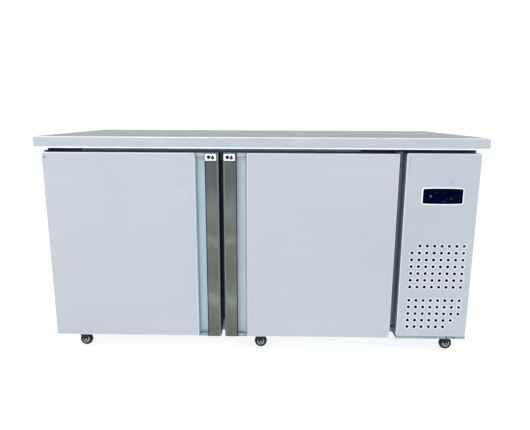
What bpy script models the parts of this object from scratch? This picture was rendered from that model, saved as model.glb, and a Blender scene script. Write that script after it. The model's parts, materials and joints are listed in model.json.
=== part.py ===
"""Two-door under counter fridge with a machine bay on its right, as an assembly of separate pieces.

Metres, +Z up, +X to the right, the doors face -Y. The origin is on the floor under the middle.
"""

import math

import bmesh
import bpy
from mathutils import Matrix, Vector

# Driving sizes of the whole object
WIDTH = 1.500
DEPTH = 0.700
HEIGHT = 0.778
BASE = 0.073  # underside of the cabinet, carried by the casters
GAP = 0.0003  # between pieces that touch
SHEET = 0.0010

# Worktop
FASCIA = 0.038
WORKTOP_RETURN = 0.016

# Cabinet
BODY_HALF = 0.729
BODY_BACK = 0.330
DOOR_FRONT = -DEPTH / 2 + 0.005
DOOR_THICK = 0.0442
SEAL_GAP = 0.0088
CABINET_FRONT = DOOR_FRONT + DOOR_THICK + SEAL_GAP
CABINET_TOP = HEIGHT - 0.0012 - GAP
BULKHEAD = 0.4625  # outer face of the wall between cold store and machine bay
FRAME_DEPTH = 0.012
WALL = 0.045
OPENING_BOTTOM = BASE + WALL
OPENING_TOP = HEIGHT - 0.080  # also the ceiling, so that foam backs the whole front frame
CAVITY_BACK = 0.285
CAVITY_LEFT = -BODY_HALF + WALL
CAVITY_RIGHT = BULKHEAD - WALL - 0.001
MULLION = (-0.1600, -0.1015)
SHELF_LEVEL = 0.390

# Doors
DOOR_BOTTOM = BASE + 0.0005
DOOR_TOP = HEIGHT - 0.052
LEFT_DOOR = (-BODY_HALF, -0.1375)  # hinge side, free edge
RIGHT_DOOR = (0.4605, -0.1240)
STRIP_WIDTH = 0.0455
CHANNEL_END = 0.0792  # free edge to the channel's far wall
PANEL_EDGE = 0.0795  # free edge to the door panel
CHANNEL_FLOOR = DOOR_FRONT + 0.0225
CHANNEL_WALL = 0.0025
CHANNEL_CAP = 0.012  # height of the block that closes each end of the channel
PIN_INSET = 0.010
PIN_Y = DOOR_FRONT + 0.022
PIN_RADIUS = 0.0040
PIN_HOLE = 0.0046
SEAL_WIDTH = 0.014

# Machine bay
BAY_LEFT = BULKHEAD + 0.0007
PANEL_LEFT = 0.4835
PANEL_TOP = HEIGHT - 0.050
PANEL_BOTTOM = BASE + 0.0103
TRAY_FLOOR = BASE + 0.0012
HOLE_RADIUS = 0.0043
HOLE_PITCH_X = 0.0253
HOLE_PITCH_Z = 0.0246
HOLE_FIRST_X = 0.5190
HOLE_FIRST_Z = HEIGHT - 0.3646
HOLE_ROWS = ((0, 1, 7), (1, 0, 8), (2, 0, 8), (3, 0, 8), (4, 0, 8), (5, 0, 8), (6, 0, 8),
             (8, 0, 8), (9, 0, 8), (10, 0, 8), (11, 0, 7), (12, 0, 6))  # row, first column, count

# Controller
CONTROL_X = 0.6090
CONTROL_Z = HEIGHT - 0.1913
CONTROL_WIDTH = 0.132
CONTROL_HEIGHT = 0.045
CONTROL_BULGE = 0.003
KEY_XS = (0.6385, 0.6500, 0.6615)
KEY_RADIUS = 0.0042

# Casters
WHEEL_RADIUS = 0.0225
WHEEL_WIDTH = 0.017
TRAIL = 0.0145
CASTER_XS = (-0.668, -0.0125, 0.673)
CASTER_Y = 0.270
PLATE_TOP = BASE - GAP

# Fans
CONDENSER_FAN = Vector((0.606, -0.2090, 0.222))
EVAPORATOR_FAN = Vector((0.3450, 0.0200, 0.5500))

MATERIALS = {
    "pale_steel": ((0.72, 0.76, 0.81), 0.35, 0.6),
    "brushed_steel": ((0.42, 0.42, 0.39), 0.30, 1.0),
    "channel": ((0.62, 0.70, 0.74), 0.45, 0.0),
    "foam": ((0.86, 0.80, 0.58), 0.90, 0.0),
    "liner": ((0.86, 0.87, 0.88), 0.40, 0.0),
    "frame_grey": ((0.55, 0.58, 0.60), 0.50, 0.0),
    "seal": ((0.30, 0.32, 0.34), 0.70, 0.0),
    "dark_steel": ((0.06, 0.07, 0.08), 0.45, 0.8),
    "wire_white": ((0.85, 0.86, 0.87), 0.40, 0.0),
    "zinc": ((0.55, 0.57, 0.59), 0.40, 1.0),
    "fin_aluminium": ((0.68, 0.69, 0.70), 0.45, 1.0),
    "black_paint": ((0.02, 0.02, 0.02), 0.40, 0.0),
    "black_plastic": ((0.015, 0.015, 0.02), 0.45, 0.0),
    "lens": ((0.010, 0.010, 0.030), 0.08, 0.0),
    "key": ((0.10, 0.10, 0.12), 0.50, 0.0),
    "rubber": ((0.02, 0.02, 0.02), 0.75, 0.0),
}


def clear_scene():
    for obj in list(bpy.data.objects):
        bpy.data.objects.remove(obj)


def add_collection(name, helper=False):
    collection = bpy.data.collections.new(name)
    collection.hide_render = helper
    bpy.context.scene.collection.children.link(collection)
    return collection


def make_materials():
    made = {}
    for name, (color, roughness, metallic) in MATERIALS.items():
        material = bpy.data.materials.new(name)
        material.use_nodes = True
        shader = material.node_tree.nodes["Principled BSDF"]
        shader.inputs["Base Color"].default_value = (*color, 1.0)
        shader.inputs["Roughness"].default_value = roughness
        shader.inputs["Metallic"].default_value = metallic
        made[name] = material
    return made


clear_scene()
PARTS = add_collection("under_counter_fridge")
CUTTERS = add_collection("cutters", helper=True)
MADE = make_materials()


# ---------------------------------------------------------------- shapes

def add_object(name, bm, origin, slot):
    """A new part from a bmesh whose points are relative to origin; with no slot it is a cutter."""
    mesh = bpy.data.meshes.new(name)
    bm.to_mesh(mesh)
    bm.free()
    obj = bpy.data.objects.new(name, mesh)
    obj.location = origin
    if slot:
        PARTS.objects.link(obj)
        mesh.materials.append(MADE[slot])
    else:
        CUTTERS.objects.link(obj)
        obj.hide_render = True
        obj.display_type = "WIRE"
    return obj


def box_mesh(size):
    bm = bmesh.new()
    bmesh.ops.create_cube(bm, size=1.0)
    bmesh.ops.scale(bm, vec=size, verts=bm.verts)
    return bm


def box(name, low, high, slot=None):
    low = Vector(low)
    high = Vector(high)
    return add_object(name, box_mesh(high - low), (low + high) / 2, slot)


def smooth(obj):
    obj.data.shade_smooth()
    obj.data.set_sharp_from_angle(angle=math.radians(35))
    return obj


AXIS_TURN = {"X": Matrix.Rotation(math.pi / 2, 3, "Y"),
             "Y": Matrix.Rotation(math.pi / 2, 3, "X"),
             "Z": Matrix.Identity(3)}


def cylinder(name, radius, length, center, axis="Z", slot=None, sides=20):
    bm = bmesh.new()
    bmesh.ops.create_cone(bm, cap_ends=True, segments=sides, radius1=radius, radius2=radius, depth=length)
    bmesh.ops.rotate(bm, matrix=AXIS_TURN[axis], verts=bm.verts)
    return smooth(add_object(name, bm, center, slot))


def boolean(obj, other, operation):
    modifier = obj.modifiers.new(operation.title() + "_" + other.name, "BOOLEAN")
    modifier.operation = operation
    modifier.object = other
    modifier.solver = "EXACT"
    return obj


def cut(obj, *cutters):
    for cutter in cutters:
        boolean(obj, cutter, "DIFFERENCE")
    return obj


def join(obj, *others):
    for other in others:
        boolean(obj, other, "UNION")
    return obj


def pan(name, low, high, open_sides, slot, thickness=SHEET):
    """A folded sheet box with the faces towards open_sides left out; low and high are its outer corners."""
    low = Vector(low)
    high = Vector(high)
    bm = box_mesh(high - low)
    missing = [f for f in bm.faces if any(f.normal.dot(Vector(side)) > 0.9 for side in open_sides)]
    bmesh.ops.delete(bm, geom=missing, context="FACES_ONLY")
    obj = add_object(name, bm, (low + high) / 2, slot)
    sheet = obj.modifiers.new("Solidify", "SOLIDIFY")
    sheet.thickness = thickness
    sheet.offset = -1.0
    sheet.use_even_offset = True
    return obj


def prism(name, outline, low_z, high_z, slot=None, axis="Z", origin=(0, 0, 0)):
    """A flat outline drawn as a filled 2D curve and extruded; axis Y stands it up, facing -Y."""
    curve = bpy.data.curves.new(name, "CURVE")
    curve.dimensions = "2D"
    curve.fill_mode = "BOTH"
    curve.extrude = (high_z - low_z) / 2
    spline = curve.splines.new("POLY")
    spline.points.add(len(outline) - 1)
    for point, (x, y) in zip(spline.points, outline):
        point.co = (x, y, 0.0, 1.0)
    spline.use_cyclic_u = True
    helper = bpy.data.objects.new(name + "_curve", curve)
    bpy.context.scene.collection.objects.link(helper)
    graph = bpy.context.evaluated_depsgraph_get()
    mesh = bpy.data.meshes.new_from_object(helper.evaluated_get(graph))
    bpy.data.objects.remove(helper)
    bm = bmesh.new()
    bm.from_mesh(mesh)
    bpy.data.meshes.remove(mesh)
    bmesh.ops.remove_doubles(bm, verts=bm.verts, dist=1e-6)
    bmesh.ops.translate(bm, vec=(0, 0, (low_z + high_z) / 2), verts=bm.verts)
    if axis == "Y":
        bmesh.ops.rotate(bm, matrix=AXIS_TURN["Y"], verts=bm.verts)
    bmesh.ops.recalc_face_normals(bm, faces=bm.faces)
    return add_object(name, bm, origin, slot)


def turned(name, profile, center, slot=None, axis="Z", steps=20, closed=False):
    """A profile of (radius, height) points, top to bottom, turned about its axis."""
    bm = bmesh.new()
    verts = [bm.verts.new((radius, 0.0, height)) for radius, height in profile]
    for first, second in zip(verts, verts[1:]):
        bm.edges.new((first, second))
    if closed:
        bm.edges.new((verts[-1], verts[0]))
    obj = add_object(name, bm, center, slot)
    screw = obj.modifiers.new("Screw", "SCREW")
    screw.steps = steps
    screw.render_steps = steps
    screw.use_merge_vertices = True
    screw.merge_threshold = 0.00005
    screw.use_normal_calculate = True
    if axis == "X":
        obj.rotation_euler = (0, math.pi / 2, 0)
    elif axis == "Y":
        obj.rotation_euler = (math.pi / 2, 0, 0)
    return obj


# ---------------------------------------------------------------- cabinet

def make_worktop():
    """Folded pan: top sheet, fascia all round, and a return folded inwards under it."""
    size = Vector((WIDTH, DEPTH, FASCIA))
    bm = box_mesh(size)
    bottom = [f for f in bm.faces if f.normal.z < -0.9]
    bmesh.ops.inset_region(bm, faces=bottom, thickness=WORKTOP_RETURN, use_even_offset=True)
    bmesh.ops.delete(bm, geom=bottom, context="FACES_ONLY")
    obj = add_object("worktop", bm, (0, 0, HEIGHT - FASCIA / 2), "pale_steel")
    sheet = obj.modifiers.new("Solidify", "SOLIDIFY")
    sheet.thickness = 0.0012
    sheet.offset = -1.0
    sheet.use_even_offset = True


def make_cabinet():
    pan("cabinet_shell", (-BODY_HALF, CABINET_FRONT, BASE), (BULKHEAD, BODY_BACK, CABINET_TOP),
        [(0, -1, 0)], "pale_steel")

    inset = SHEET + GAP
    foam_front = CABINET_FRONT + FRAME_DEPTH + GAP
    foam = box("cabinet_insulation", (-BODY_HALF + inset, foam_front, BASE + inset),
               (BULKHEAD - inset, BODY_BACK - inset, CABINET_TOP - inset), "foam")
    cavity = box("cavity", (CAVITY_LEFT, foam_front - 0.05, OPENING_BOTTOM),
                 (CAVITY_RIGHT, CAVITY_BACK, OPENING_TOP))
    cut(foam, cavity)

    liner = pan("inner_liner", (CAVITY_LEFT + GAP, foam_front, OPENING_BOTTOM + GAP),
                (CAVITY_RIGHT - GAP, CAVITY_BACK - GAP, OPENING_TOP - GAP), [(0, -1, 0)], "liner")
    ledge = box("left_ledge", (CAVITY_LEFT + SHEET * 0.5, -0.255, SHELF_LEVEL - 0.012),
                (CAVITY_LEFT + 0.014, 0.255, SHELF_LEVEL - GAP))
    join(liner, ledge)

    frame = box("front_frame", (-BODY_HALF + inset, CABINET_FRONT, BASE + inset),
                (BULKHEAD - inset, CABINET_FRONT + FRAME_DEPTH, CABINET_TOP - inset), "frame_grey")
    window = box("frame_window", (CAVITY_LEFT, CABINET_FRONT - 0.02, OPENING_BOTTOM),
                 (CAVITY_RIGHT, CABINET_FRONT + 0.04, OPENING_TOP))
    cut(frame, window)
    box("centre_mullion", (MULLION[0], CABINET_FRONT, OPENING_BOTTOM + GAP),
        (MULLION[1], CABINET_FRONT + FRAME_DEPTH, OPENING_TOP - GAP), "frame_grey")


def make_shelves():
    """Two slotted shelves, resting on the liner's ledge, a centre bar and the evaporator cover."""
    front = CABINET_FRONT + FRAME_DEPTH + 2 * GAP
    box("shelf_centre_support", (-0.142, front, SHELF_LEVEL - 0.012),
        (-0.120, CAVITY_BACK - SHEET - 2 * GAP, SHELF_LEVEL - GAP), "zinc")
    spans = {"shelf_left": (CAVITY_LEFT + 0.004, -0.1330), "shelf_right": (-0.1290, 0.3350)}
    for name, (left, right) in spans.items():
        shelf = box(name, (left, -0.262, SHELF_LEVEL), (right, 0.262, SHELF_LEVEL + 0.005), "wire_white")
        slots = 9
        pitch = (right - left - 0.030) / slots
        for number in range(slots):
            low_x = left + 0.021 + number * pitch
            slot = box(f"{name}_slot_{number}", (low_x, -0.240, SHELF_LEVEL - 0.01),
                       (low_x + pitch - 0.012, 0.240, SHELF_LEVEL + 0.02))
            cut(shelf, slot)


# ---------------------------------------------------------------- doors

def make_door(side, hinge_x, edge_x):
    """One full-overlay door; u is the distance from its free edge towards its hinge."""
    toward_hinge = 1.0 if hinge_x > edge_x else -1.0
    width = abs(hinge_x - edge_x)
    back = DOOR_FRONT + DOOR_THICK
    inner = back - 0.0015

    def at(u):
        return edge_x + toward_hinge * u

    def span(u_low, u_high):
        return sorted((at(u_low), at(u_high)))

    def place(outline):
        return [(at(u), y) for u, y in outline]

    pivot_x = hinge_x - toward_hinge * PIN_INSET
    pin_holes = [cylinder(f"{side}_pin_hole_{end}", PIN_HOLE, 0.050, (pivot_x, PIN_Y, z), "Z")
                 for end, z in (("top", DOOR_TOP), ("bottom", DOOR_BOTTOM))]
    notch_x = sorted((hinge_x + toward_hinge * 0.002, pivot_x - toward_hinge * 0.0165))
    notch = box(f"{side}_hinge_notch", (notch_x[0], PIN_Y - 0.0165, DOOR_BOTTOM - 0.01),
                (notch_x[1], back + 0.01, DOOR_BOTTOM + 0.0052))

    skin_x = span(PANEL_EDGE, width)
    skin = pan(f"door_{side}_skin", (skin_x[0], DOOR_FRONT, DOOR_BOTTOM), (skin_x[1], inner, DOOR_TOP),
               [(0, 1, 0)], "pale_steel")
    trim_x = span(PANEL_EDGE - 0.001, PANEL_EDGE + 0.0013)
    trim = box(f"{side}_skin_trim", (trim_x[0], CHANNEL_FLOOR - 0.001, DOOR_BOTTOM + SHEET + 0.0001),
               (trim_x[1], back + 0.01, DOOR_TOP - SHEET - 0.0001))
    cut(skin, trim, notch, *pin_holes)

    core_front = DOOR_FRONT + SHEET + GAP
    core_low = DOOR_BOTTOM + SHEET + GAP
    core_high = DOOR_TOP - SHEET - GAP
    groove_y = CHANNEL_FLOOR + CHANNEL_WALL + GAP
    outline = [(width - SHEET - GAP, core_front), (PANEL_EDGE + SHEET + GAP, core_front),
               (PANEL_EDGE + SHEET + GAP, groove_y), (0.0312, groove_y), (0.0312, DOOR_FRONT + 0.0043),
               (0.0043, DOOR_FRONT + 0.0043), (0.0043, inner - GAP), (width - SHEET - GAP, inner - GAP)]
    core = prism(f"door_{side}_core", place(outline), core_low, core_high, "foam")
    cut(core, notch, *pin_holes)

    panel_x = span(0.0005, width - 0.0005)
    panel = box(f"door_{side}_inner_panel", (panel_x[0], inner + GAP, DOOR_BOTTOM),
                (panel_x[1], back, DOOR_TOP), "liner")
    cut(panel, notch)

    channel_front = DOOR_FRONT + 0.0015
    outline = [(CHANNEL_END, DOOR_FRONT + 0.0005), (CHANNEL_END - CHANNEL_WALL, DOOR_FRONT + 0.0005),
               (CHANNEL_END - CHANNEL_WALL, CHANNEL_FLOOR - 0.006),
               (CHANNEL_END - CHANNEL_WALL - 0.002, CHANNEL_FLOOR - 0.002),
               (CHANNEL_END - CHANNEL_WALL - 0.006, CHANNEL_FLOOR),
               (0.0400, CHANNEL_FLOOR), (0.0360, CHANNEL_FLOOR - 0.002), (0.0340, CHANNEL_FLOOR - 0.006),
               (0.0340, channel_front + 0.003), (0.0445, channel_front + 0.003), (0.0445, channel_front),
               (0.0015, channel_front), (0.0015, inner - GAP), (0.0040, inner - GAP),
               (0.0040, channel_front + CHANNEL_WALL), (0.0315, channel_front + CHANNEL_WALL),
               (0.0315, CHANNEL_FLOOR + CHANNEL_WALL), (CHANNEL_END, CHANNEL_FLOOR + CHANNEL_WALL)]
    channel = prism(f"door_{side}_handle_channel", place(outline), DOOR_BOTTOM, DOOR_TOP, "channel")
    cap_x = span(0.0330, CHANNEL_END - 0.0010)
    for end, low in (("bottom", DOOR_BOTTOM), ("top", DOOR_TOP - CHANNEL_CAP)):
        cap = box(f"{side}_channel_cap_{end}", (cap_x[0], channel_front + 0.0020, low),
                  (cap_x[1], CHANNEL_FLOOR + 0.0010, low + CHANNEL_CAP))
        join(channel, cap)

    outline = [(0.0, DOOR_FRONT), (STRIP_WIDTH, DOOR_FRONT), (STRIP_WIDTH, DOOR_FRONT + 0.0012),
               (0.0012, DOOR_FRONT + 0.0012), (0.0012, DOOR_FRONT + 0.0270), (0.0, DOOR_FRONT + 0.0270)]
    prism(f"door_{side}_grip_strip", place(outline), DOOR_BOTTOM, DOOR_TOP, "brushed_steel")

    seal_x = span(0.006, width - PIN_INSET - 0.004)
    seal_z = (DOOR_BOTTOM + 0.012, DOOR_TOP - 0.012)
    seal = box(f"door_{side}_gasket", (seal_x[0], back + GAP, seal_z[0]),
               (seal_x[1], CABINET_FRONT - GAP, seal_z[1]), "seal")
    hole = box(f"{side}_gasket_hole", (seal_x[0] + SEAL_WIDTH, back - 0.02, seal_z[0] + SEAL_WIDTH),
               (seal_x[1] - SEAL_WIDTH, CABINET_FRONT + 0.02, seal_z[1] - SEAL_WIDTH))
    cut(seal, hole)


def make_hinge_bracket(side, end, hinge_x, toward_hinge):
    """A flange on the front frame, an arm over or under the door, and the pin that enters the door."""
    pivot_x = hinge_x - toward_hinge * PIN_INSET
    plate = 0.003
    flange_back = CABINET_FRONT - GAP
    inward = -toward_hinge
    if end == "top":
        arm_z = (DOOR_TOP + 0.0015, DOOR_TOP + 0.0015 + plate)
        flange_z = (arm_z[0], arm_z[0] + 0.030)
        pin_z = (DOOR_TOP - 0.020, arm_z[1] - 0.001)
    else:
        arm_z = (BASE + 0.0012, BASE + 0.0012 + plate)
        flange_z = (arm_z[0], BASE + 0.0105)
        pin_z = (arm_z[0] + 0.001, DOOR_BOTTOM + 0.020)
    flange_x = sorted((hinge_x - toward_hinge * 0.004, hinge_x + inward * 0.120))
    bracket = box(f"hinge_bracket_{end}_{side}", (flange_x[0], flange_back - plate, flange_z[0]),
                  (flange_x[1], flange_back, flange_z[1]), "dark_steel")
    arm = box(f"{side}_{end}_arm", (pivot_x - 0.010, PIN_Y, arm_z[0]),
              (pivot_x + 0.010, flange_back - 0.001, arm_z[1]))
    tip = cylinder(f"{side}_{end}_arm_tip", 0.010, plate, (pivot_x, PIN_Y, sum(arm_z) / 2), "Z", sides=24)
    pin = cylinder(f"{side}_{end}_pin", PIN_RADIUS, pin_z[1] - pin_z[0],
                   (pivot_x, PIN_Y, sum(pin_z) / 2), "Z", sides=20)
    join(bracket, arm, tip, pin)


# ---------------------------------------------------------------- machine bay

def make_bay_panels():
    side = pan("machine_side_panel", (BODY_HALF - 0.016, CABINET_FRONT + GAP, BASE),
               (BODY_HALF, BODY_BACK, CABINET_TOP), [(-1, 0, 0), (0, 0, -1)], "pale_steel")
    # The tray passes under the side panel's folds, so these stop above it.
    tray_room = box("tray_room", (BODY_HALF - 0.030, CABINET_FRONT - 0.01, BASE - 0.01),
                    (BODY_HALF - SHEET, BODY_BACK + 0.01, BASE + 0.0103))
    cut(side, tray_room)

    back = pan("machine_back_grille", (BAY_LEFT, 0.3170, BASE + 0.0110),
               (BODY_HALF - SHEET - 2 * GAP, BODY_BACK - SHEET - GAP, CABINET_TOP - SHEET - GAP),
               [(0, -1, 0)], "pale_steel")
    for number in range(14):
        z = 0.140 + number * 0.034
        cut(back, box(f"louvre_{number}", (0.490, 0.300, z), (0.690, 0.340, z + 0.010)))
    cut(back, cylinder("gland_hole", 0.0085, 0.060, (0.665, 0.320, 0.680), "Y"))

    profile = [(0.0045, 0.012), (0.0080, 0.012), (0.0095, 0.009), (0.0120, 0.0085), (0.0120, 0.0055),
               (0.0080, 0.0055), (0.0080, -0.010), (0.0045, -0.010)]
    gland = turned("power_cord_gland", profile, (0.665, BODY_BACK - SHEET - GAP - 0.0052, 0.680),
                   "black_plastic", "Y", closed=True)
    gland.rotation_euler = (-math.pi / 2, 0, 0)

    tray = pan("machine_base_tray", (BAY_LEFT, CABINET_FRONT + GAP, BASE),
               (BODY_HALF - SHEET - GAP, 0.3160, BASE + 0.0100), [(0, 0, 1)], "pale_steel", 0.0012)
    apron = box("tray_apron", (PANEL_LEFT + 0.0007, DOOR_FRONT + 0.0015, BASE),
                (BODY_HALF - SHEET - GAP, CABINET_FRONT + 0.0010, BASE + 0.0012))
    lip = box("tray_lip", (PANEL_LEFT + 0.0007, DOOR_FRONT + 0.0015, BASE),
              (BODY_HALF - SHEET - GAP, DOOR_FRONT + 0.0027, BASE + 0.0100))
    # The tray's front frame closes the bay beside and above the removable front panel.
    post = box("bay_post", (BAY_LEFT, CABINET_FRONT + GAP, BASE + 0.0005),
               (PANEL_LEFT + 0.0065, CABINET_FRONT + GAP + 0.0015, CABINET_TOP - 0.002))
    rail = box("bay_rail", (BAY_LEFT, CABINET_FRONT + GAP, PANEL_TOP - 0.012),
               (BODY_HALF - 0.0165, CABINET_FRONT + GAP + 0.0015, CABINET_TOP - 0.002))
    join(tray, apron, lip, post, rail)


def make_front_panel():
    panel = pan("machine_front_panel", (PANEL_LEFT, DOOR_FRONT, PANEL_BOTTOM),
                (BODY_HALF, CABINET_FRONT - GAP, PANEL_TOP), [(0, 1, 0)], "pale_steel")
    bm = bmesh.new()
    for row, first, count in HOLE_ROWS:
        for column in range(first, first + count):
            place = Matrix.Translation((HOLE_FIRST_X + column * HOLE_PITCH_X, DOOR_FRONT,
                                        HOLE_FIRST_Z - row * HOLE_PITCH_Z))
            bmesh.ops.create_cone(bm, cap_ends=True, segments=8, radius1=HOLE_RADIUS, radius2=HOLE_RADIUS,
                                  depth=0.02, matrix=place @ AXIS_TURN["Y"].to_4x4())
    vents = add_object("vent_holes", bm, (0, 0, 0), None)
    window = box("controller_window", (CONTROL_X - 0.0605, DOOR_FRONT - 0.01, CONTROL_Z - 0.0195),
                 (CONTROL_X + 0.0605, DOOR_FRONT + 0.01, CONTROL_Z + 0.0195))
    cut(panel, vents, window)


def barrel_outline(width, height, bulge, corner=0.003):
    """Straight sides, and a top and bottom that bow outwards, with cut corners."""
    half = width / 2
    top = []
    for step in range(9):
        x = -half + corner + (width - 2 * corner) * step / 8
        top.append((x, height / 2 + bulge * (1 - (x / half) ** 2)))
    right = [(half, height / 2 - corner), (half, -height / 2 + corner)]
    bottom = [(x, -z) for x, z in reversed(top)]
    left = [(-half, -height / 2 + corner), (-half, height / 2 - corner)]
    return top + right + bottom + left


def make_controller():
    """A bezel that stands proud of the panel, its body behind it, a window and three keys."""
    face = DOOR_FRONT - 0.0038
    origin = (CONTROL_X, 0, CONTROL_Z)
    housing = prism("controller_housing", barrel_outline(CONTROL_WIDTH, CONTROL_HEIGHT, CONTROL_BULGE),
                    -DOOR_FRONT + GAP, -face, "black_plastic", "Y", origin)
    body = box("controller_body", (CONTROL_X - 0.0595, DOOR_FRONT - 0.001, CONTROL_Z - 0.018),
               (CONTROL_X + 0.0595, DOOR_FRONT + 0.032, CONTROL_Z + 0.018))
    join(housing, body)
    lens_x = (-0.0600, 0.0205)
    recess = box("lens_recess", (CONTROL_X + lens_x[0], face - 0.01, CONTROL_Z - 0.0185),
                 (CONTROL_X + lens_x[1], face + 0.0020, CONTROL_Z + 0.0185))
    cut(housing, recess)
    box("controller_lens", (CONTROL_X + lens_x[0] + GAP, face - 0.0004, CONTROL_Z - 0.0185 + GAP),
        (CONTROL_X + lens_x[1] - GAP, face + 0.0020 - GAP, CONTROL_Z + 0.0185 - GAP), "lens")
    for number, x in enumerate(KEY_XS, 1):
        well = cylinder(f"key_well_{number}", KEY_RADIUS + 0.0004, 0.0140, (x, face, CONTROL_Z), "Y",
                        sides=24)
        cut(housing, well)
        cylinder(f"controller_key_{number}", KEY_RADIUS, 0.0060, (x, face + 0.0022, CONTROL_Z), "Y", "key",
                 24)


def make_compressor():
    base = TRAY_FLOOR + GAP
    x, y = 0.600, 0.070
    feet = box("compressor", (x - 0.085, y - 0.070, base), (x + 0.085, y + 0.070, base + 0.004),
               "black_paint")
    dome = turned("compressor_dome", [(0.0, 0.176), (0.030, 0.174), (0.056, 0.162), (0.070, 0.138),
                                      (0.074, 0.110), (0.074, 0.095), (0.079, 0.094), (0.079, 0.088),
                                      (0.074, 0.087), (0.072, 0.040), (0.060, 0.014), (0.040, 0.003),
                                      (0.0, 0.002)], (x, y, base), steps=20)
    boss = box("compressor_terminal", (x - 0.105, y - 0.025, base + 0.055),
               (x - 0.060, y + 0.025, base + 0.105))
    join(feet, dome, boss)


def make_condenser():
    low = Vector((0.502, -0.2830, TRAY_FLOOR + GAP))
    high = Vector((0.710, -0.2360, 0.360))
    coil = box("condenser_coil", low, high, "fin_aluminium")
    for number in range(9):
        x = low.x + 0.016 + number * 0.0205
        cut(coil, box(f"fin_slot_{number}", (x, low.y - 0.01, low.z + 0.012),
                      (x + 0.010, low.y + 0.012, 0.350)))

    fan = CONDENSER_FAN
    frame = box("condenser_fan_frame", (fan.x - 0.098, -0.2353, TRAY_FLOOR + GAP),
                (fan.x + 0.098, -0.1950, fan.z + 0.098), "black_plastic")
    ring = cylinder("fan_ring", 0.090, 0.100, (fan.x, fan.y, fan.z), "Y", sides=32)
    cut(frame, ring)
    reach = 0.094
    bar = 0.006
    bars = [box("fan_bar_flat", (fan.x - reach, -0.2010, fan.z - bar), (fan.x + reach, -0.1960, fan.z + bar)),
            box("fan_bar_tall", (fan.x - bar, -0.2010, fan.z - reach), (fan.x + bar, -0.1960, fan.z + reach)),
            cylinder("fan_motor_can", 0.0270, 0.0130, (fan.x, -0.2020, fan.z), "Y", sides=24),
            cylinder("fan_motor_shaft", 0.0040, 0.0200, (fan.x, -0.2150, fan.z), "Y", sides=16)]
    join(frame, *bars)


def make_fan(name, center, axis, hub_radius, hub_length, bore, reach, blade_length, slot):
    """Five pitched blades on a hub; axis is the shaft's direction."""
    hub = cylinder(name, hub_radius, hub_length, center, axis, slot, 24)
    count = 5
    for number in range(count):
        bm = box_mesh((reach - hub_radius + 0.004, blade_length * 2.2, 0.0022))
        bmesh.ops.rotate(bm, matrix=Matrix.Rotation(math.radians(24), 3, "X"), verts=bm.verts)
        bmesh.ops.translate(bm, vec=((reach + hub_radius - 0.004) / 2, 0, 0), verts=bm.verts)
        bmesh.ops.rotate(bm, matrix=Matrix.Rotation(math.tau * number / count, 3, "Z"), verts=bm.verts)
        bmesh.ops.rotate(bm, matrix=AXIS_TURN[axis], verts=bm.verts)
        join(hub, add_object(f"{name}_blade_{number}", bm, center, None))
    cut(hub, cylinder(f"{name}_bore", bore, hub_length * 3, center, axis, sides=16))
    return hub


def make_evaporator():
    fan = EVAPORATOR_FAN
    right = CAVITY_RIGHT - GAP - SHEET - GAP
    cover = pan("evaporator_cover", (0.3380, -0.200, 0.300), (right, 0.230, OPENING_TOP - 0.004),
                [(1, 0, 0)], "liner", 0.0015)
    ledge = box("right_ledge", (0.3270, -0.190, SHELF_LEVEL - 0.012), (0.3388, 0.220, SHELF_LEVEL - GAP))
    collar = cylinder("evaporator_fan_collar", 0.084, 0.028, (0.3520, fan.y, fan.z), "X", sides=32)
    bore = cylinder("evaporator_fan_bore", 0.078, 0.100, (0.3520, fan.y, fan.z), "X", sides=32)
    join(cover, ledge, collar)
    cut(cover, bore)
    join(cover,
         box("evaporator_bar_flat", (0.3600, fan.y - 0.082, fan.z - 0.004),
             (0.3655, fan.y + 0.082, fan.z + 0.004)),
         box("evaporator_bar_tall", (0.3600, fan.y - 0.004, fan.z - 0.082),
             (0.3655, fan.y + 0.004, fan.z + 0.082)),
         cylinder("evaporator_motor", 0.0240, 0.0140, (0.3590, fan.y, fan.z), "X", sides=24),
         cylinder("evaporator_shaft", 0.0030, 0.0150, (0.3480, fan.y, fan.z), "X", sides=16))
    for number in range(4):
        z = 0.318 + number * 0.016
        cut(cover, box(f"air_slot_{number}", (0.330, -0.150, z), (0.345, 0.180, z + 0.007)))

    low = Vector((0.3760, -0.150, 0.340))
    high = Vector((right - 0.003, 0.180, 0.670))
    coil = box("evaporator_coil", low, high, "fin_aluminium")
    for number in range(8):
        z = low.z + 0.020 + number * 0.038
        cut(coil, box(f"coil_slot_{number}", (low.x - 0.01, low.y + 0.015, z),
                      (low.x + 0.010, high.y - 0.015, z + 0.018)))


# ---------------------------------------------------------------- casters

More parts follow.
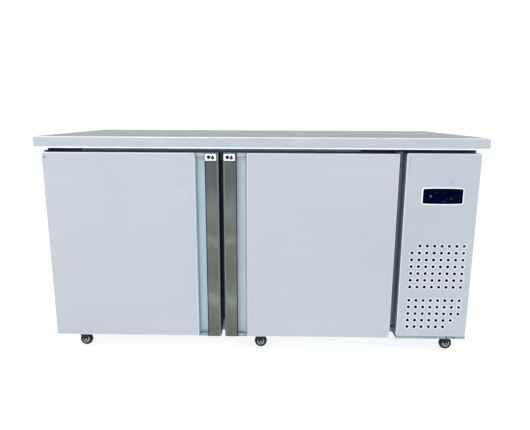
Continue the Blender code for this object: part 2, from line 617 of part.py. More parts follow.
def make_caster(name, x, y):
    """A swivel caster: fixed plate with its kingpin, fork with the axle, and wheel with its axle along Y."""
    plate = box(f"{name}_plate", (x - 0.030, y - 0.0215, PLATE_TOP - 0.003),
                (x + 0.030, y + 0.0215, PLATE_TOP), "zinc")
    fork_top = PLATE_TOP - 0.0050
    king = cylinder(f"{name}_kingpin", 0.0040, 0.0190, (x, y, PLATE_TOP - 0.0105), "Z", sides=12)
    race = cylinder(f"{name}_race", 0.0150, 0.0020, (x, y, PLATE_TOP - 0.0035), "Z", sides=16)
    head = cylinder(f"{name}_kingpin_head", 0.0070, 0.0025, (x, y, PLATE_TOP - 0.0190), "Z", sides=12)
    join(plate, king, race, head)

    axle_x = x + TRAIL
    fork = cylinder(f"{name}_fork", 0.0170, 0.0120, (x, y, fork_top - 0.0060), "Z", "black_paint", 16)
    crown = box(f"{name}_crown", (x - 0.013, y - 0.0125, fork_top - 0.0120),
                (x + 0.022, y + 0.0125, fork_top - 0.0095))
    join(fork, crown)
    leg_outline = [(x - 0.013, fork_top - 0.010), (axle_x - 0.006, WHEEL_RADIUS - 0.002),
                   (axle_x, WHEEL_RADIUS - 0.006), (axle_x + 0.006, WHEEL_RADIUS - 0.002),
                   (x + 0.022, fork_top - 0.010)]
    for hand, low_y in (("front", -0.0125), ("back", 0.0105)):
        leg = prism(f"{name}_{hand}_leg", leg_outline, -(y + low_y + 0.0020), -(y + low_y), None, "Y")
        join(fork, leg)
    king_room = cylinder(f"{name}_king_hole", 0.0043, 0.040, (x, y, fork_top), "Z", sides=12)
    axle = cylinder(f"{name}_axle", 0.0030, 0.0265, (axle_x, y, WHEEL_RADIUS), "Y", sides=12)
    cut(fork, king_room)
    join(fork, axle)

    half = WHEEL_WIDTH / 2
    rim = WHEEL_RADIUS
    profile = [(0.0034, half + 0.0012), (0.0080, half + 0.0012), (0.0120, half - 0.0015), (0.0140, half),
               (rim - 0.0030, half), (rim, half - 0.0045), (rim, -half + 0.0045), (rim - 0.0030, -half),
               (0.0140, -half), (0.0120, -half + 0.0015), (0.0080, -half - 0.0012), (0.0034, -half - 0.0012)]
    turned(f"{name}_wheel", profile, (axle_x, y, WHEEL_RADIUS), "rubber", "Y", closed=True)


def make_all():
    make_worktop()
    make_cabinet()
    make_shelves()
    for side, (hinge_x, edge_x) in (("left", LEFT_DOOR), ("right", RIGHT_DOOR)):
        make_door(side, hinge_x, edge_x)
        for end in ("top", "bottom"):
            make_hinge_bracket(side, end, hinge_x, 1.0 if hinge_x > edge_x else -1.0)
    make_bay_panels()
    make_front_panel()
    make_controller()
    make_compressor()
    make_condenser()
    make_fan("condenser_fan", CONDENSER_FAN + Vector((0, -0.0085, 0)), "Y", 0.0300, 0.0150, 0.0043, 0.0850,
             0.0150, "black_plastic")
    make_evaporator()
    make_fan("evaporator_fan", EVAPORATOR_FAN + Vector((0.0005, 0, 0)), "X", 0.0220, 0.0110, 0.0033, 0.0740,
             0.0100, "black_plastic")
    for row, y in (("front", -CASTER_Y), ("rear", CASTER_Y)):
        for place, x in zip(("left", "centre", "right"), CASTER_XS):
            make_caster(f"caster_{row}_{place}", x, y)


make_all()
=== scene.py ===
"""Looks of a two-door under counter fridge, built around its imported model.

Metres, +Z up, +X to the right, the doors face -Y. Every piece is placed from the frame's own boxes.
"""

import json
import math

import bmesh
import bpy
from mathutils import Matrix, Vector


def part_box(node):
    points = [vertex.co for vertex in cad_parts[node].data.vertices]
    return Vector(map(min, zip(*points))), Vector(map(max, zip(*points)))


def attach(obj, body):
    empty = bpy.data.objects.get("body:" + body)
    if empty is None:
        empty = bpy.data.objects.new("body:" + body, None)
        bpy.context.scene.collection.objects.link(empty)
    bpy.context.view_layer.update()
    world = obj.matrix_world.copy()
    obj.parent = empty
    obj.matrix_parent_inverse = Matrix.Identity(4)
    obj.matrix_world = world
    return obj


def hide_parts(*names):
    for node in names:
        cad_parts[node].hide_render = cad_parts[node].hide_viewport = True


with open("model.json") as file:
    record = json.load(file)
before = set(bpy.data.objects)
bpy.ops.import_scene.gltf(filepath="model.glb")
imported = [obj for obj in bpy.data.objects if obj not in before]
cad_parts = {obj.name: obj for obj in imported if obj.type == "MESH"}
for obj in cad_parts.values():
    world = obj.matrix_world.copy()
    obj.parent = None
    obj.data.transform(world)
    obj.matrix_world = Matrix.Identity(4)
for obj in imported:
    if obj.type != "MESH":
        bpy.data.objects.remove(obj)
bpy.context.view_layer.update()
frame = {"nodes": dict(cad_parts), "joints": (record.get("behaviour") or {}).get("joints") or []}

X = Vector((1, 0, 0))
Y = Vector((0, 1, 0))
Z = Vector((0, 0, 1))
SHEET = 0.001  # thickness of the folded steel

# Directions of a sheet's own frame: across, up, and inwards from its face
FACINGS = {"-Y": (X, Z, Y), "+Y": (Z, X, -Y), "+Z": (X, Y, -Z), "+X": (Y, Z, -X), "-X": (Z, Y, X)}


# -------------------------------- materials

def srgb(red, green, blue):
    """A display colour, 0 to 255, as linear light."""
    def linear(value):
        share = value / 255
        return share / 12.92 if share <= 0.04045 else ((share + 0.055) / 1.055) ** 2.4
    return linear(red), linear(green), linear(blue)


def scaled(color, factor):
    return tuple(min(channel * factor, 1.0) for channel in color)


class Surface:
    """A Principled material with short ways to add and join its nodes."""

    def __init__(self, name, roughness, metallic=0.0, specular=0.5):
        self.material = bpy.data.materials.new(name)
        self.material.use_nodes = True
        self.tree = self.material.node_tree
        self.shader = self.tree.nodes["Principled BSDF"]
        self.shader.inputs["Roughness"].default_value = roughness
        self.shader.inputs["Metallic"].default_value = metallic
        self.shader.inputs["Specular IOR Level"].default_value = specular
        self.place = self.add("ShaderNodeTexCoord").outputs["Object"]

    def feed(self, socket, value):
        if isinstance(value, bpy.types.NodeSocket):
            self.tree.links.new(value, socket)
        else:
            socket.default_value = value

    def add(self, kind, values=None, **settings):
        node = self.tree.nodes.new(kind)
        for key, value in settings.items():
            setattr(node, key, value)
        for key, value in (values or {}).items():
            self.feed(node.inputs[key], value)
        return node

    def noise(self, scale, stretch=(1, 1, 1), detail=3.0, turn=(0, 0, 0)):
        """Noise from 0 to 1; stretch makes it finer along an axis."""
        mapping = self.add("ShaderNodeMapping", {"Vector": self.place, "Scale": stretch, "Rotation": turn})
        node = self.add("ShaderNodeTexNoise", {"Vector": mapping.outputs[0], "Scale": scale, "Detail": detail})
        return node.outputs["Fac"]

    def ramp(self, value, low, high, out_low=0.0, out_high=1.0):
        node = self.add("ShaderNodeMapRange", {"Value": value, "From Min": low, "From Max": high,
                                               "To Min": out_low, "To Max": out_high})
        return node.outputs["Result"]

    def math(self, operation, first, second=0.0):
        return self.add("ShaderNodeMath", {0: first, 1: second}, operation=operation).outputs[0]

    def mix(self, factor, first, second):
        """A blend of two colours, each a colour or a socket."""
        node = self.add("ShaderNodeMix", {0: factor}, data_type="RGBA")
        for index, value in ((6, first), (7, second)):
            self.feed(node.inputs[index], (*value, 1.0) if isinstance(value, tuple) else value)
        return node.outputs[2]

    def tint(self, base, value, low, high, color, amount=1.0):
        """The base, with a share of another colour over it as value goes from low to high."""
        return self.mix(self.ramp(value, low, high, 0.0, amount), base, color)

    def edge_highlight_shade_wear(self):
        """The edge mask painted on the mesh, 1 on its edges: there each look paints its edge colour, a painted
        highlight with some rubbing, and on the channel plastic a painted shade line.
        """
        return self.add("ShaderNodeAttribute", attribute_name="edge_highlight_shade_wear").outputs["Fac"]

    def height(self):
        return self.add("ShaderNodeSeparateXYZ", {"Vector": self.place}).outputs["Z"]

    def painted_side_shade(self, low, high, both=True):
        """Mask for painted shade on a piece's sides: 1 where the surface faces along the object's own -X axis,
        or along X either way, 0 elsewhere.
        """
        normal = self.add("ShaderNodeTexCoord").outputs["Normal"]
        along = self.add("ShaderNodeSeparateXYZ", {"Vector": normal}).outputs["X"]
        if both:
            return self.ramp(self.math("ABSOLUTE", along), low, high)
        return self.ramp(along, -low, -high)

    def set(self, socket, value):
        self.tree.links.new(value, self.shader.inputs[socket])

    def bump(self, height, distance, strength):
        node = self.add("ShaderNodeBump", {"Height": height, "Distance": distance, "Strength": strength})
        self.set("Normal", node.outputs[0])

    def glow(self, color, strength):
        self.shader.inputs["Emission Color"].default_value = (*color, 1.0)
        self.shader.inputs["Emission Strength"].default_value = strength


def coated_steel(name, color, edge_highlight_shade_wear_color, grain, roughness=0.38, metallic=0.35, walls=None):
    """Pale sheet steel: faint brushing, soft clouds, handling marks, soft spots of painted reflection, and
    brighter edges, a painted highlight broken up by rubbing.

    walls is a darker colour painted as shade on its side that faces -X.
    """
    look = Surface(name, roughness, metallic)
    clouds = look.noise(2.2, (1, 1, 1.6), 2)
    brushing = look.noise(9, grain, 4)
    marks = look.noise(34, (1, 1, 0.5), 5, (0.3, 0.5, 0.2))
    bands = look.noise(11, (0.12, 0.12, 1), 2)
    # Soft bright spots: a painted reflection of lamps
    reflection_spots = look.noise(8.5, detail=1, turn=(0.2, 0.1, 0.6))
    base = look.mix(look.ramp(clouds, 0.35, 0.65), scaled(color, 0.965), scaled(color, 1.03))
    layers = ((bands, 0.35, 0.65, 0.955, 0.5), (brushing, 0.3, 0.7, 0.93, 0.35),
              (marks, 0.7, 0.78, 0.86, 0.35), (reflection_spots, 0.7, 0.8, 1.16, 0.55))
    for pattern, low, high, shade, amount in layers:
        base = look.tint(base, pattern, low, high, scaled(color, shade), amount)
    # Painted highlight on the bends and rims, broken up by the handling marks like rubbing
    edge_highlight_shade_wear = look.math("MULTIPLY", look.edge_highlight_shade_wear(), look.ramp(marks, 0.3, 0.6, 0.65, 1))
    base = look.mix(edge_highlight_shade_wear, base, edge_highlight_shade_wear_color)
    # Painted shade on the side that faces -X
    look.set("Base Color", look.mix(look.painted_side_shade(0.75, 0.95, both=False), base, walls) if walls else base)
    smudges = look.ramp(look.noise(7), 0.35, 0.65, roughness - 0.05, roughness + 0.07)
    look.set("Roughness", look.math("ADD", look.ramp(brushing, 0.2, 0.8, -0.05, 0.05), smudges))
    look.bump(brushing, 0.00012, 0.25)
    return look.material


def brushed_steel(name, dark, light, grain, roughness=0.34, metallic=0.85, specular=0.5, lower_reflection=None,
                  painted_glints=()):
    """Bare steel with strong brushing along its length and a few rubbed places.

    lower is a painted reflection that lightens and warms its bottom half, and polished lists (height, spread,
    amount) of painted glints, bright bands of reflected light.
    """
    look = Surface(name, roughness, metallic, specular)
    brushing = look.noise(14, grain, 5)
    rubs = look.noise(11, (3, 3, 1), 2, (0, 0.7, 0))
    base = look.mix(look.ramp(look.noise(5, (1, 1, 1.3), 2), 0.3, 0.7), dark, light)
    height = look.height()
    # Painted reflection: the bottom half lighter and warmer than the top
    if lower_reflection:
        base = look.tint(base, height, 0.62, 0.34, lower_reflection)
    base = look.tint(base, brushing, 0.25, 0.75, scaled(dark, 0.7), 0.45)
    base = look.tint(base, rubs, 0.62, 0.74, scaled(light, 1.5), 0.4)
    wavy = look.math("ADD", height, look.ramp(look.noise(30, (1, 1, 0.3), 2), 0.3, 0.7, -0.012, 0.012))
    # Painted glints: bands of reflected light at the listed heights, bent a little by noise
    for level, spread, amount in painted_glints:
        rise = look.ramp(wavy, level - spread, level)
        fall = look.ramp(wavy, level + spread, level)
        band = look.math("MULTIPLY", look.math("MULTIPLY", rise, fall), amount)
        base = look.mix(band, base, scaled(light, 2.3))
    # Painted highlight along the edge mask, on the strip's fold
    look.set("Base Color", look.mix(look.edge_highlight_shade_wear(), base, scaled(light, 1.45)))
    look.set("Roughness", look.ramp(brushing, 0.2, 0.8, roughness - 0.08, roughness + 0.1))
    look.bump(brushing, 0.0002, 0.35)
    return look.material


def moulded(name, color, roughness, grain_size=420, cloud=0.06, edge_highlight_shade_wear_color=None, depth=0.00008, walls=None,
            metallic=0.0, specular=0.5):
    """Moulded or painted surface: fine grain, slight clouds, edges in the edge colour (a painted highlight
    with some rubbing on most looks, a painted shade line on the channel plastic); walls paints shade on its X
    sides.
    """
    look = Surface(name, roughness, metallic, specular)
    dust = look.noise(55, (1, 1, 1.8), 5)
    base = look.mix(look.ramp(look.noise(6), 0.3, 0.7), scaled(color, 1 - cloud), scaled(color, 1 + cloud))
    base = look.tint(base, dust, 0.62, 0.8, scaled(color, 1.25), 0.25)
    # The edge colour along the mask: a painted highlight with some rubbing on most looks, a painted shade line
    # on the channel plastic
    if edge_highlight_shade_wear_color:
        base = look.mix(look.edge_highlight_shade_wear(), base, edge_highlight_shade_wear_color)
    # Painted shade on the sides that face along X
    if walls:
        base = look.mix(look.painted_side_shade(0.55, 0.95), base, walls)
    look.set("Base Color", base)
    look.set("Roughness", look.ramp(dust, 0.3, 0.7, roughness - 0.05, roughness + 0.06))
    look.bump(look.noise(grain_size, detail=2), depth, 0.3)
    return look.material


def plated(name, color, roughness, size=90):
    """Plated metal with a crystal mottle and dull spots."""
    look = Surface(name, roughness, 1.0)
    spots = look.noise(size, detail=4)
    cells = look.add("ShaderNodeTexVoronoi", {"Vector": look.place, "Scale": size * 2}).outputs["Distance"]
    base = look.mix(look.ramp(spots, 0.3, 0.7), scaled(color, 0.82), scaled(color, 1.12))
    look.set("Base Color", look.tint(base, cells, 0.2, 0.6, scaled(color, 0.75), 0.3))
    look.set("Roughness", look.ramp(spots, 0.3, 0.7, roughness - 0.08, roughness + 0.12))
    look.bump(spots, 0.0001, 0.2)
    return look.material


def finned(name, color, dusty=srgb(120, 116, 108)):
    """A stack of thin aluminium fins, drawn as fine upright lines."""
    look = Surface(name, 0.45, 0.9)
    wave = look.add("ShaderNodeTexWave", {"Vector": look.place, "Scale": 90, "Distortion": 0.4},
                    bands_direction="X").outputs["Fac"]
    dust = look.noise(40, detail=4)
    look.set("Base Color", look.tint(look.mix(wave, scaled(color, 0.35), color), dust, 0.5, 0.8, dusty, 0.5))
    look.set("Roughness", look.ramp(dust, 0.3, 0.7, 0.35, 0.6))
    look.bump(wave, 0.0006, 0.6)
    return look.material


def glossy_window(name, color):
    """Tinted gloss plastic with faint haze and wiping marks."""
    look = Surface(name, 0.12, specular=0.01)
    haze = look.noise(60, (1, 1, 3), 4, (0, 0.5, 0))
    look.set("Base Color", look.tint(color, haze, 0.4, 0.8, scaled(color, 1.7)))
    look.set("Roughness", look.ramp(haze, 0.3, 0.8, 0.06, 0.16))
    look.bump(haze, 0.00003, 0.2)
    return look.material


def lamp(name, color, strength=0.1):
    look = Surface(name, 0.4, specular=0.05)
    look.set("Base Color", look.mix(look.noise(300, detail=2), scaled(color, 0.8), color))
    look.glow(color, strength)
    return look.material


# Stretch of the brushing along a sheet, up it, and into it
ACROSS = (1, 60, 60)
UPRIGHT = (60, 60, 1)
DEEP = (60, 1, 60)
# Height, spread and amount of the painted glints, bright bands of reflected light across the grip strips
PAINTED_GLINTS = ((0.54, 0.08, 0.34), (0.43, 0.09, 0.18), (0.425, 0.026, 0.42), (0.208, 0.1, 0.26),
            (0.208, 0.028, 0.6))
# The looks of each material slot. A look's edge colour, where it has one, is a painted highlight on bends and
# rims, except on the channel's plastic, where it is a painted shade line.
MATERIALS = {
    "pale_steel": (
        coated_steel("door_steel", srgb(184, 190, 198), srgb(240, 244, 250), ACROSS),
        # The next look paints shade with its last colour on the side that faces -X
        coated_steel("bay_steel", srgb(179, 188, 196), srgb(250, 252, 255), ACROSS, walls=srgb(124, 158, 182)),
        coated_steel("side_steel", srgb(176, 182, 189), srgb(234, 238, 244), DEEP),
        coated_steel("fascia_steel", srgb(179, 187, 194), srgb(252, 253, 255), ACROSS),
        brushed_steel("top_steel", srgb(133, 151, 151), srgb(157, 171, 173), ACROSS, 0.42, 0.25, 0.08),
        coated_steel("tray_steel", srgb(142, 155, 161), srgb(200, 208, 212), ACROSS),
        moulded("rubbed_steel", srgb(140, 148, 158), 0.6, 700, 0.05)),
    "brushed_steel": (
        # Painted reflection lightens this steel's bottom half, and painted glints lie across it
        brushed_steel("strip_steel", srgb(82, 90, 90), srgb(94, 100, 98), UPRIGHT, lower_reflection=srgb(103, 105, 95),
                      painted_glints=PAINTED_GLINTS),),
    "channel": (
        # The next look is the channel plastic made darker, painted shade for the top end caps
        moulded("channel_cap", srgb(150, 165, 174), 0.5, 300, 0.05, srgb(170, 184, 190)),
        # The next look's edge colour is a painted shade line, and its last colour paints shade on its sides
        moulded("channel_plastic", srgb(190, 205, 213), 0.42, 300, 0.05, srgb(116, 136, 148),
                walls=srgb(145, 167, 181))),
    "foam": (moulded("rigid_foam", srgb(232, 216, 170), 0.9, 160, 0.1, depth=0.0008),),
    "liner": (coated_steel("liner_white", srgb(222, 225, 228), srgb(240, 242, 244), ACROSS, 0.42, 0.1),),
    "frame_grey": (
        # The next look is the frame's slate made lighter, painted light for the frame's lit band under the
        # worktop
        moulded("header_slate", srgb(130, 186, 210), 0.5, 500, 0.12, srgb(140, 160, 172)),
        moulded("frame_slate", srgb(76, 104, 122), 0.5, 500, 0.08, srgb(100, 124, 140)),
        moulded("mullion_navy", srgb(38, 74, 95), 0.5, 500, 0.12, srgb(50, 88, 112), specular=0.2)),
    "seal": (moulded("seal_rubber", srgb(12, 30, 56), 0.7, 700, 0.08, specular=0.15),),
    "dark_steel": (
        # The next look is near-black, painted shade on the doors' turned-back edges
        moulded("edge_trim", srgb(0, 0, 22), 0.5, 700, 0.08, specular=0.2),
        moulded("hinge_paint", srgb(44, 52, 60), 0.42, 600, 0.1, metallic=0.5)),
    "wire_white": (
        moulded("coated_wire", srgb(226, 228, 230), 0.35, 500, 0.03),
        moulded("label_film", srgb(240, 240, 246), 0.35, 300, 0.02)),
    "zinc": (plated("zinc_plate", srgb(176, 180, 184), 0.36),),
    "fin_aluminium": (
        finned("fin_stack", srgb(196, 198, 200)),
        finned("black_fin_stack", srgb(24, 25, 28), srgb(44, 42, 40))),
    "black_paint": (
        moulded("black_paint", srgb(14, 15, 24), 0.38, 500, 0.15, srgb(60, 62, 70), specular=0.3),),
    "black_plastic": (
        moulded("black_plastic", srgb(0, 1, 24), 0.4, 900, 0.1, srgb(8, 10, 34), specular=0.05),
        moulded("bezel_gloss", srgb(1, 4, 32), 0.35, 900, 0.1, specular=0.01),
        moulded("hub_plastic", srgb(168, 174, 184), 0.45, 500),
        moulded("label_ink", srgb(0, 0, 20), 0.5, 400, 0.1),
        # The next look is a pale ring round the controller, a painted highlight
        moulded("rim_white", srgb(236, 241, 248), 0.4, 400, 0.02)),
    "lens": (
        glossy_window("tinted_window", srgb(0, 3, 30)),
        moulded("faint_mark", srgb(34, 32, 66), 0.5, 500),
        lamp("lamp_white", srgb(106, 105, 138)),
        lamp("lamp_teal", srgb(0, 40, 46))),
    "key": (moulded("key_plastic", srgb(5, 8, 32), 0.42, 900, 0.1, srgb(14, 17, 42), specular=0.02),),
    "rubber": (
        moulded("tyre_rubber", srgb(12, 13, 20), 0.62, 260, 0.15, srgb(48, 50, 58), 0.0003, specular=0.3),),
}
LOOKS = {}
for material_slot, materials in MATERIALS.items():
    for material in materials:
        # A name that the frame's own materials already have ends in a number.
        look_name = material.name.partition(".")[0]
        LOOKS[look_name] = material


# -------------------------------- mesh building

def add_object(name, data):
    obj = bpy.data.objects.new(name, data)
    bpy.context.scene.collection.objects.link(obj)
    return obj


def finish(name, bm, look, body="root", node=None, angle=38, closed=True):
    """Turns the bmesh into a piece that rides on its body and stands for the CAD node it replaces.
    """
    if closed:
        bmesh.ops.recalc_face_normals(bm, faces=bm.faces)
    mesh = bpy.data.meshes.new(name)
    bm.to_mesh(mesh)
    bm.free()
    mesh.shade_smooth()
    mesh.set_sharp_from_angle(angle=math.radians(angle))
    looks = look if isinstance(look, tuple) else (look,)
    for each in looks:
        mesh.materials.append(LOOKS[each])
    obj = add_object(name, mesh)
    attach(obj, body)
    if node:
        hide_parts(node)
    return obj


def thicken(obj, thickness, offset=-1.0):
    sheet = obj.modifiers.new("Solidify", "SOLIDIFY")
    sheet.thickness = thickness
    sheet.offset = offset
    return sheet


def rounded_rectangle(low, high, radius, steps=4, inset=0.0):
    """Points of a rectangle with rounded corners, anticlockwise, drawn in on all sides by the inset."""
    low, high = [v + inset for v in low], [v - inset for v in high]
    radius = max(radius - inset, 0.0001)
    points = []
    for x, y, start in ((high[0] - radius, low[1] + radius, -90), (high[0] - radius, high[1] - radius, 0),
                        (low[0] + radius, high[1] - radius, 90), (low[0] + radius, low[1] + radius, 180)):
        for step in range(steps + 1):
            turn = math.radians(start + 90 * step / steps)
            points.append((x + radius * math.cos(turn), y + radius * math.sin(turn)))
    return points


def centred_rectangle(middle, half_width, half_height, radius):
    return rounded_rectangle((middle[0] - half_width, middle[1] - half_height),
                             (middle[0] + half_width, middle[1] + half_height), radius)


def circle(center, radius, sides=24):
    turns = [math.tau * k / sides for k in range(sides)]
    return [(center[0] + radius * math.cos(turn), center[1] + radius * math.sin(turn)) for turn in turns]


def fillet(corners, steps=5):
    """An outline from (x, y, radius) corners, each rounded by an arc; a fourth value is its edge mask, where
    highlight, shade and rubbing are painted.
    """
    points = []
    for index, (x, y, radius, *own) in enumerate(corners):
        here = Vector((x, y))
        edge_highlight_shade_wear = own[0] if own else 0.0
        if radius <= 0:
            points.append((x, y, edge_highlight_shade_wear))
            continue
        before = (Vector(corners[index - 1][:2]) - here).normalized()
        after = (Vector(corners[(index + 1) % len(corners)][:2]) - here).normalized()
        half = before.angle(after) / 2
        center = here + (before + after).normalized() * radius / math.sin(half)
        start = here + before * radius / math.tan(half) - center
        end = here + after * radius / math.tan(half) - center
        for step in range(steps + 1):
            point = center + start.lerp(end, step / steps).normalized() * radius
            points.append((*point, edge_highlight_shade_wear))
    return points


def join_loops(bm, first, second, material=0):
    count = len(first)
    for k in range(count):
        face = bm.faces.new((first[k], second[k], second[(k + 1) % count], first[(k + 1) % count]))
        face.material_index = material


def add_rings(bm, rings, facing="-Y", origin=Vector(), material=0, around=False):
    """Loops of vertices from (outline, depth, edge mask) rings, joined one to the next, or all round as a
    tube.

    A depth is measured inwards from the origin. Outline points may have their own edge mask.
    """
    across, up, inwards = FACINGS[facing]
    layer = bm.verts.layers.float.get("edge_highlight_shade_wear") or bm.verts.layers.float.new("edge_highlight_shade_wear")
    loops = []
    for points, depth, edge_highlight_shade_wear in rings:
        loop = []
        for s, t, *own in points:
            vert = bm.verts.new(across * s + up * t + inwards * depth + origin)
            vert[layer] = own[0] if own else edge_highlight_shade_wear
            loop.append(vert)
        loops.append(loop)
    for first, second in zip(loops, loops[1:] + loops[:1] if around else loops[1:]):
        join_loops(bm, first, second, material)
    return loops


def fill_flat(bm, outer, holes):
    """Fills the flat area inside the outer loop and outside the holes."""
    if not holes:
        bm.faces.new(outer)
        return
    edges = []
    for loop in (outer, *holes):
        for first, second in zip(loop, loop[1:] + loop[:1]):
            edges.append(bm.edges.get((first, second)) or bm.edges.new((first, second)))
    bmesh.ops.triangle_fill(bm, use_beauty=True, edges=edges)


def bend_profile(bend, depth, lip=0.0, stops=(), steps=5):
    """(inset, depth, edge mask) loops of a folded edge: the bend, the wall, and a lip turned back inwards."""
    lip_bend = 0.002
    loops = []
    for step in range(steps + 1):
        turn = math.radians(90 * step / steps)
        # The mask peaks halfway round the bend, where a highlight is painted
        edge_highlight_shade_wear = math.sin(2 * turn) ** 0.5 if 0 < step < steps else 0.0
        loops.append((bend * (1 - math.sin(turn)), bend * (1 - math.cos(turn)), edge_highlight_shade_wear))
    loops += [(0.0, stop, 0.0) for stop in stops]
    if not lip:
        return loops + [(0.0, depth, 0.0)]
    # A painted highlight along the lip's fold
    loops += [(0.0, depth - 0.0046, 0.0), (0.0, depth - 0.004, 1.0)]
    for step in range(steps + 1):
        turn = math.radians(90 * step / steps)
        edge_highlight_shade_wear = 1.0 - 0.5 * step / steps
        loops.append((lip_bend * (1 - math.cos(turn)), depth - lip_bend * (1 - math.sin(turn)), edge_highlight_shade_wear))
    return loops + [(lip, depth, 0.0)]


def face_place(low, high, facing):
    """The face's own low and high corner, its origin, and how deep the box is behind it."""
    across, up, inwards = FACINGS[facing]
    near = low if inwards.dot(Vector((1, 1, 1))) > 0 else high
    origin = Vector([n * abs(i) for n, i in zip(near, inwards)])
    flat = [(across.dot(low), up.dot(low)), (across.dot(high), up.dot(high))]
    return flat[0], flat[1], origin, abs(inwards.dot(high - low))


def sheet_pan(name, node, facing, look, body="root", bend=0.0025, corner=0.0025, lip=0.0, stops=(), holes=(),
              profile=None, box=None, thickness=SHEET, drop=None):
    """A folded pan that fills a node's box: a flat face, rounded bends, walls, and perhaps a lip.

    holes are lists of (outline, depth, edge mask), from the face inwards. drop says which faces are left out.
    A second look is for the bends and walls.
    """
    flat_low, flat_high, origin, depth = face_place(*(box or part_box(node)), facing)
    rings = []
    for inset, at, edge_highlight_shade_wear, *own in profile or bend_profile(bend, depth, lip, stops):
        radius = own[0] + inset if own else corner
        rings.append((rounded_rectangle(flat_low, flat_high, radius, inset=inset), at, edge_highlight_shade_wear))
    bm = bmesh.new()
    edge_look = int(isinstance(look, tuple))
    outer = add_rings(bm, rings, facing, origin, edge_look)[0]
    fill_flat(bm, outer, [add_rings(bm, hole, facing, origin, edge_look)[0] for hole in holes])
    bmesh.ops.recalc_face_normals(bm, faces=bm.faces)
    outwards = -FACINGS[facing][2]
    level = [f for f in bm.faces if abs(f.normal.dot(outwards)) > 0.99]
    if max(level, key=lambda f: f.calc_area()).normal.dot(outwards) < 0:
        bmesh.ops.reverse_faces(bm, faces=bm.faces)
    if drop:
        gone = [f for f in bm.faces if drop(f.calc_center_median())]
        bmesh.ops.delete(bm, geom=gone, context="FACES")
    obj = finish(name, bm, look, body, node, closed=False)
    thicken(obj, thickness).use_even_offset = True
    return obj


def add_extrusion(bm, outline, low, high, facing="-Y"):
    """An outline in the facing's plane, extruded between two depths along its inward direction."""
    for end in add_rings(bm, [(outline, low, 0.0), (outline, high, 0.0)], facing):
        bm.faces.new(end)


def extrusion(name, outlines, look, body="root", node=None, facing="-Y", soften=0.0):
    """Outlines, each with its two depths, as one piece with softened edges.

    Facing -Y takes (x, z) outlines and y depths; +Z takes (x, y) outlines and depths of -z.
    """
    bm = bmesh.new()
    for outline, low, high in outlines:
        add_extrusion(bm, outline, low, high, facing)
    obj = finish(name, bm, look, body, node)
    if soften:
        bevel = obj.modifiers.new("Bevel", "BEVEL")
        bevel.width = soften
        bevel.segments = 2
        bevel.limit_method = "ANGLE"
        bevel.angle_limit = math.radians(50)
        bevel.harden_normals = True


def directions(axis):
    """A function that takes an angle to a direction square to the axis."""
    start = X if abs(axis.x) < 0.9 else Y
    side = (start - axis * start.dot(axis)).normalized()
    other = axis.cross(side)
    return lambda turn: side * math.cos(turn) + other * math.sin(turn)


def add_lathe(bm, profile, center, axis, steps=40, closed=True):
    """A profile of (radius, height) turned about an axis through center."""
    toward = directions(axis)
    loops = []
    for radius, height in profile:
        count = steps if radius > 1e-6 else 1
        loops.append([bm.verts.new(center + axis * height + toward(math.tau * k / steps) * radius)
                      for k in range(count)])
    for first, second in zip(loops, loops[1:] + loops[:1] if closed else loops[1:]):
        if len(first) > 1 and len(second) > 1:
            join_loops(bm, first, second)
        elif len(first) != len(second):
            tip, rim = (first[0], second) if len(first) == 1 else (second[0], first)
            for k in range(len(rim)):
                bm.faces.new((tip, rim[k], rim[(k + 1) % len(rim)]))


def lathe(name, profile, center, axis, look, body="root", node=None, steps=40, closed=True):
    """A turned piece; without closed, its profile starts and ends on the axis."""
    bm = bmesh.new()
    add_lathe(bm, profile, Vector(center), axis, steps, closed)
    finish(name, bm, look, body, node)


def wires(name, runs, radius, node=None, cyclic=False):
    """Round coated wires through lists of points, as one mesh piece."""
    curve = bpy.data.curves.new(name, "CURVE")
    curve.dimensions = "3D"
    curve.bevel_depth = radius
    curve.bevel_resolution = 3
    curve.use_fill_caps = True
    for run in runs:
        spline = curve.splines.new("POLY")
        spline.points.add(len(run) - 1)
        for point, place in zip(spline.points, run):
            point.co = (*place, 1.0)
        spline.use_cyclic_u = cyclic
    helper = add_object(name + "_curve", curve)
    graph = bpy.context.evaluated_depsgraph_get()
    mesh = bpy.data.meshes.new_from_object(helper.evaluated_get(graph))
    bpy.data.objects.remove(helper)
    bm = bmesh.new()
    bm.from_mesh(mesh)
    bpy.data.meshes.remove(mesh)
    bmesh.ops.remove_doubles(bm, verts=bm.verts, dist=1e-6)
    finish(name, bm, "coated_wire", node=node, closed=False)


# Share of the radius, height in radii, and whether the cross recess shapes it, from the metal upwards
SCREW_RINGS = ((1, 0, False), (1, 0.18, False), (0.86, 0.42, False), (0.62, 0.52, False), (0.34, 0.54, True),
               (0.26, 0.16, True))


def screw_heads(name, places, axis, radius, look="zinc_plate", body="root"):
    """Pan-head screws with a cross recess, as one group; axis points out of the metal."""
    toward = directions(axis)
    steps = 24
    bm = bmesh.new()
    for place in places:
        loops = []
        for share, height, cross in SCREW_RINGS:
            loop = []
            for k in range(steps):
                turn = math.tau * k / steps
                reach = share * (0.8 + 0.7 * math.cos(2 * turn) ** 8) if cross else share
                rise = axis * height * radius
                loop.append(bm.verts.new(Vector(place) + rise + toward(turn) * radius * reach))
            loops.append(loop)
        for first, second in zip(loops, loops[1:]):
            join_loops(bm, first, second)
        bm.faces.new(loops[0])
        bm.faces.new(loops[-1])
    finish(name, bm, look, body)


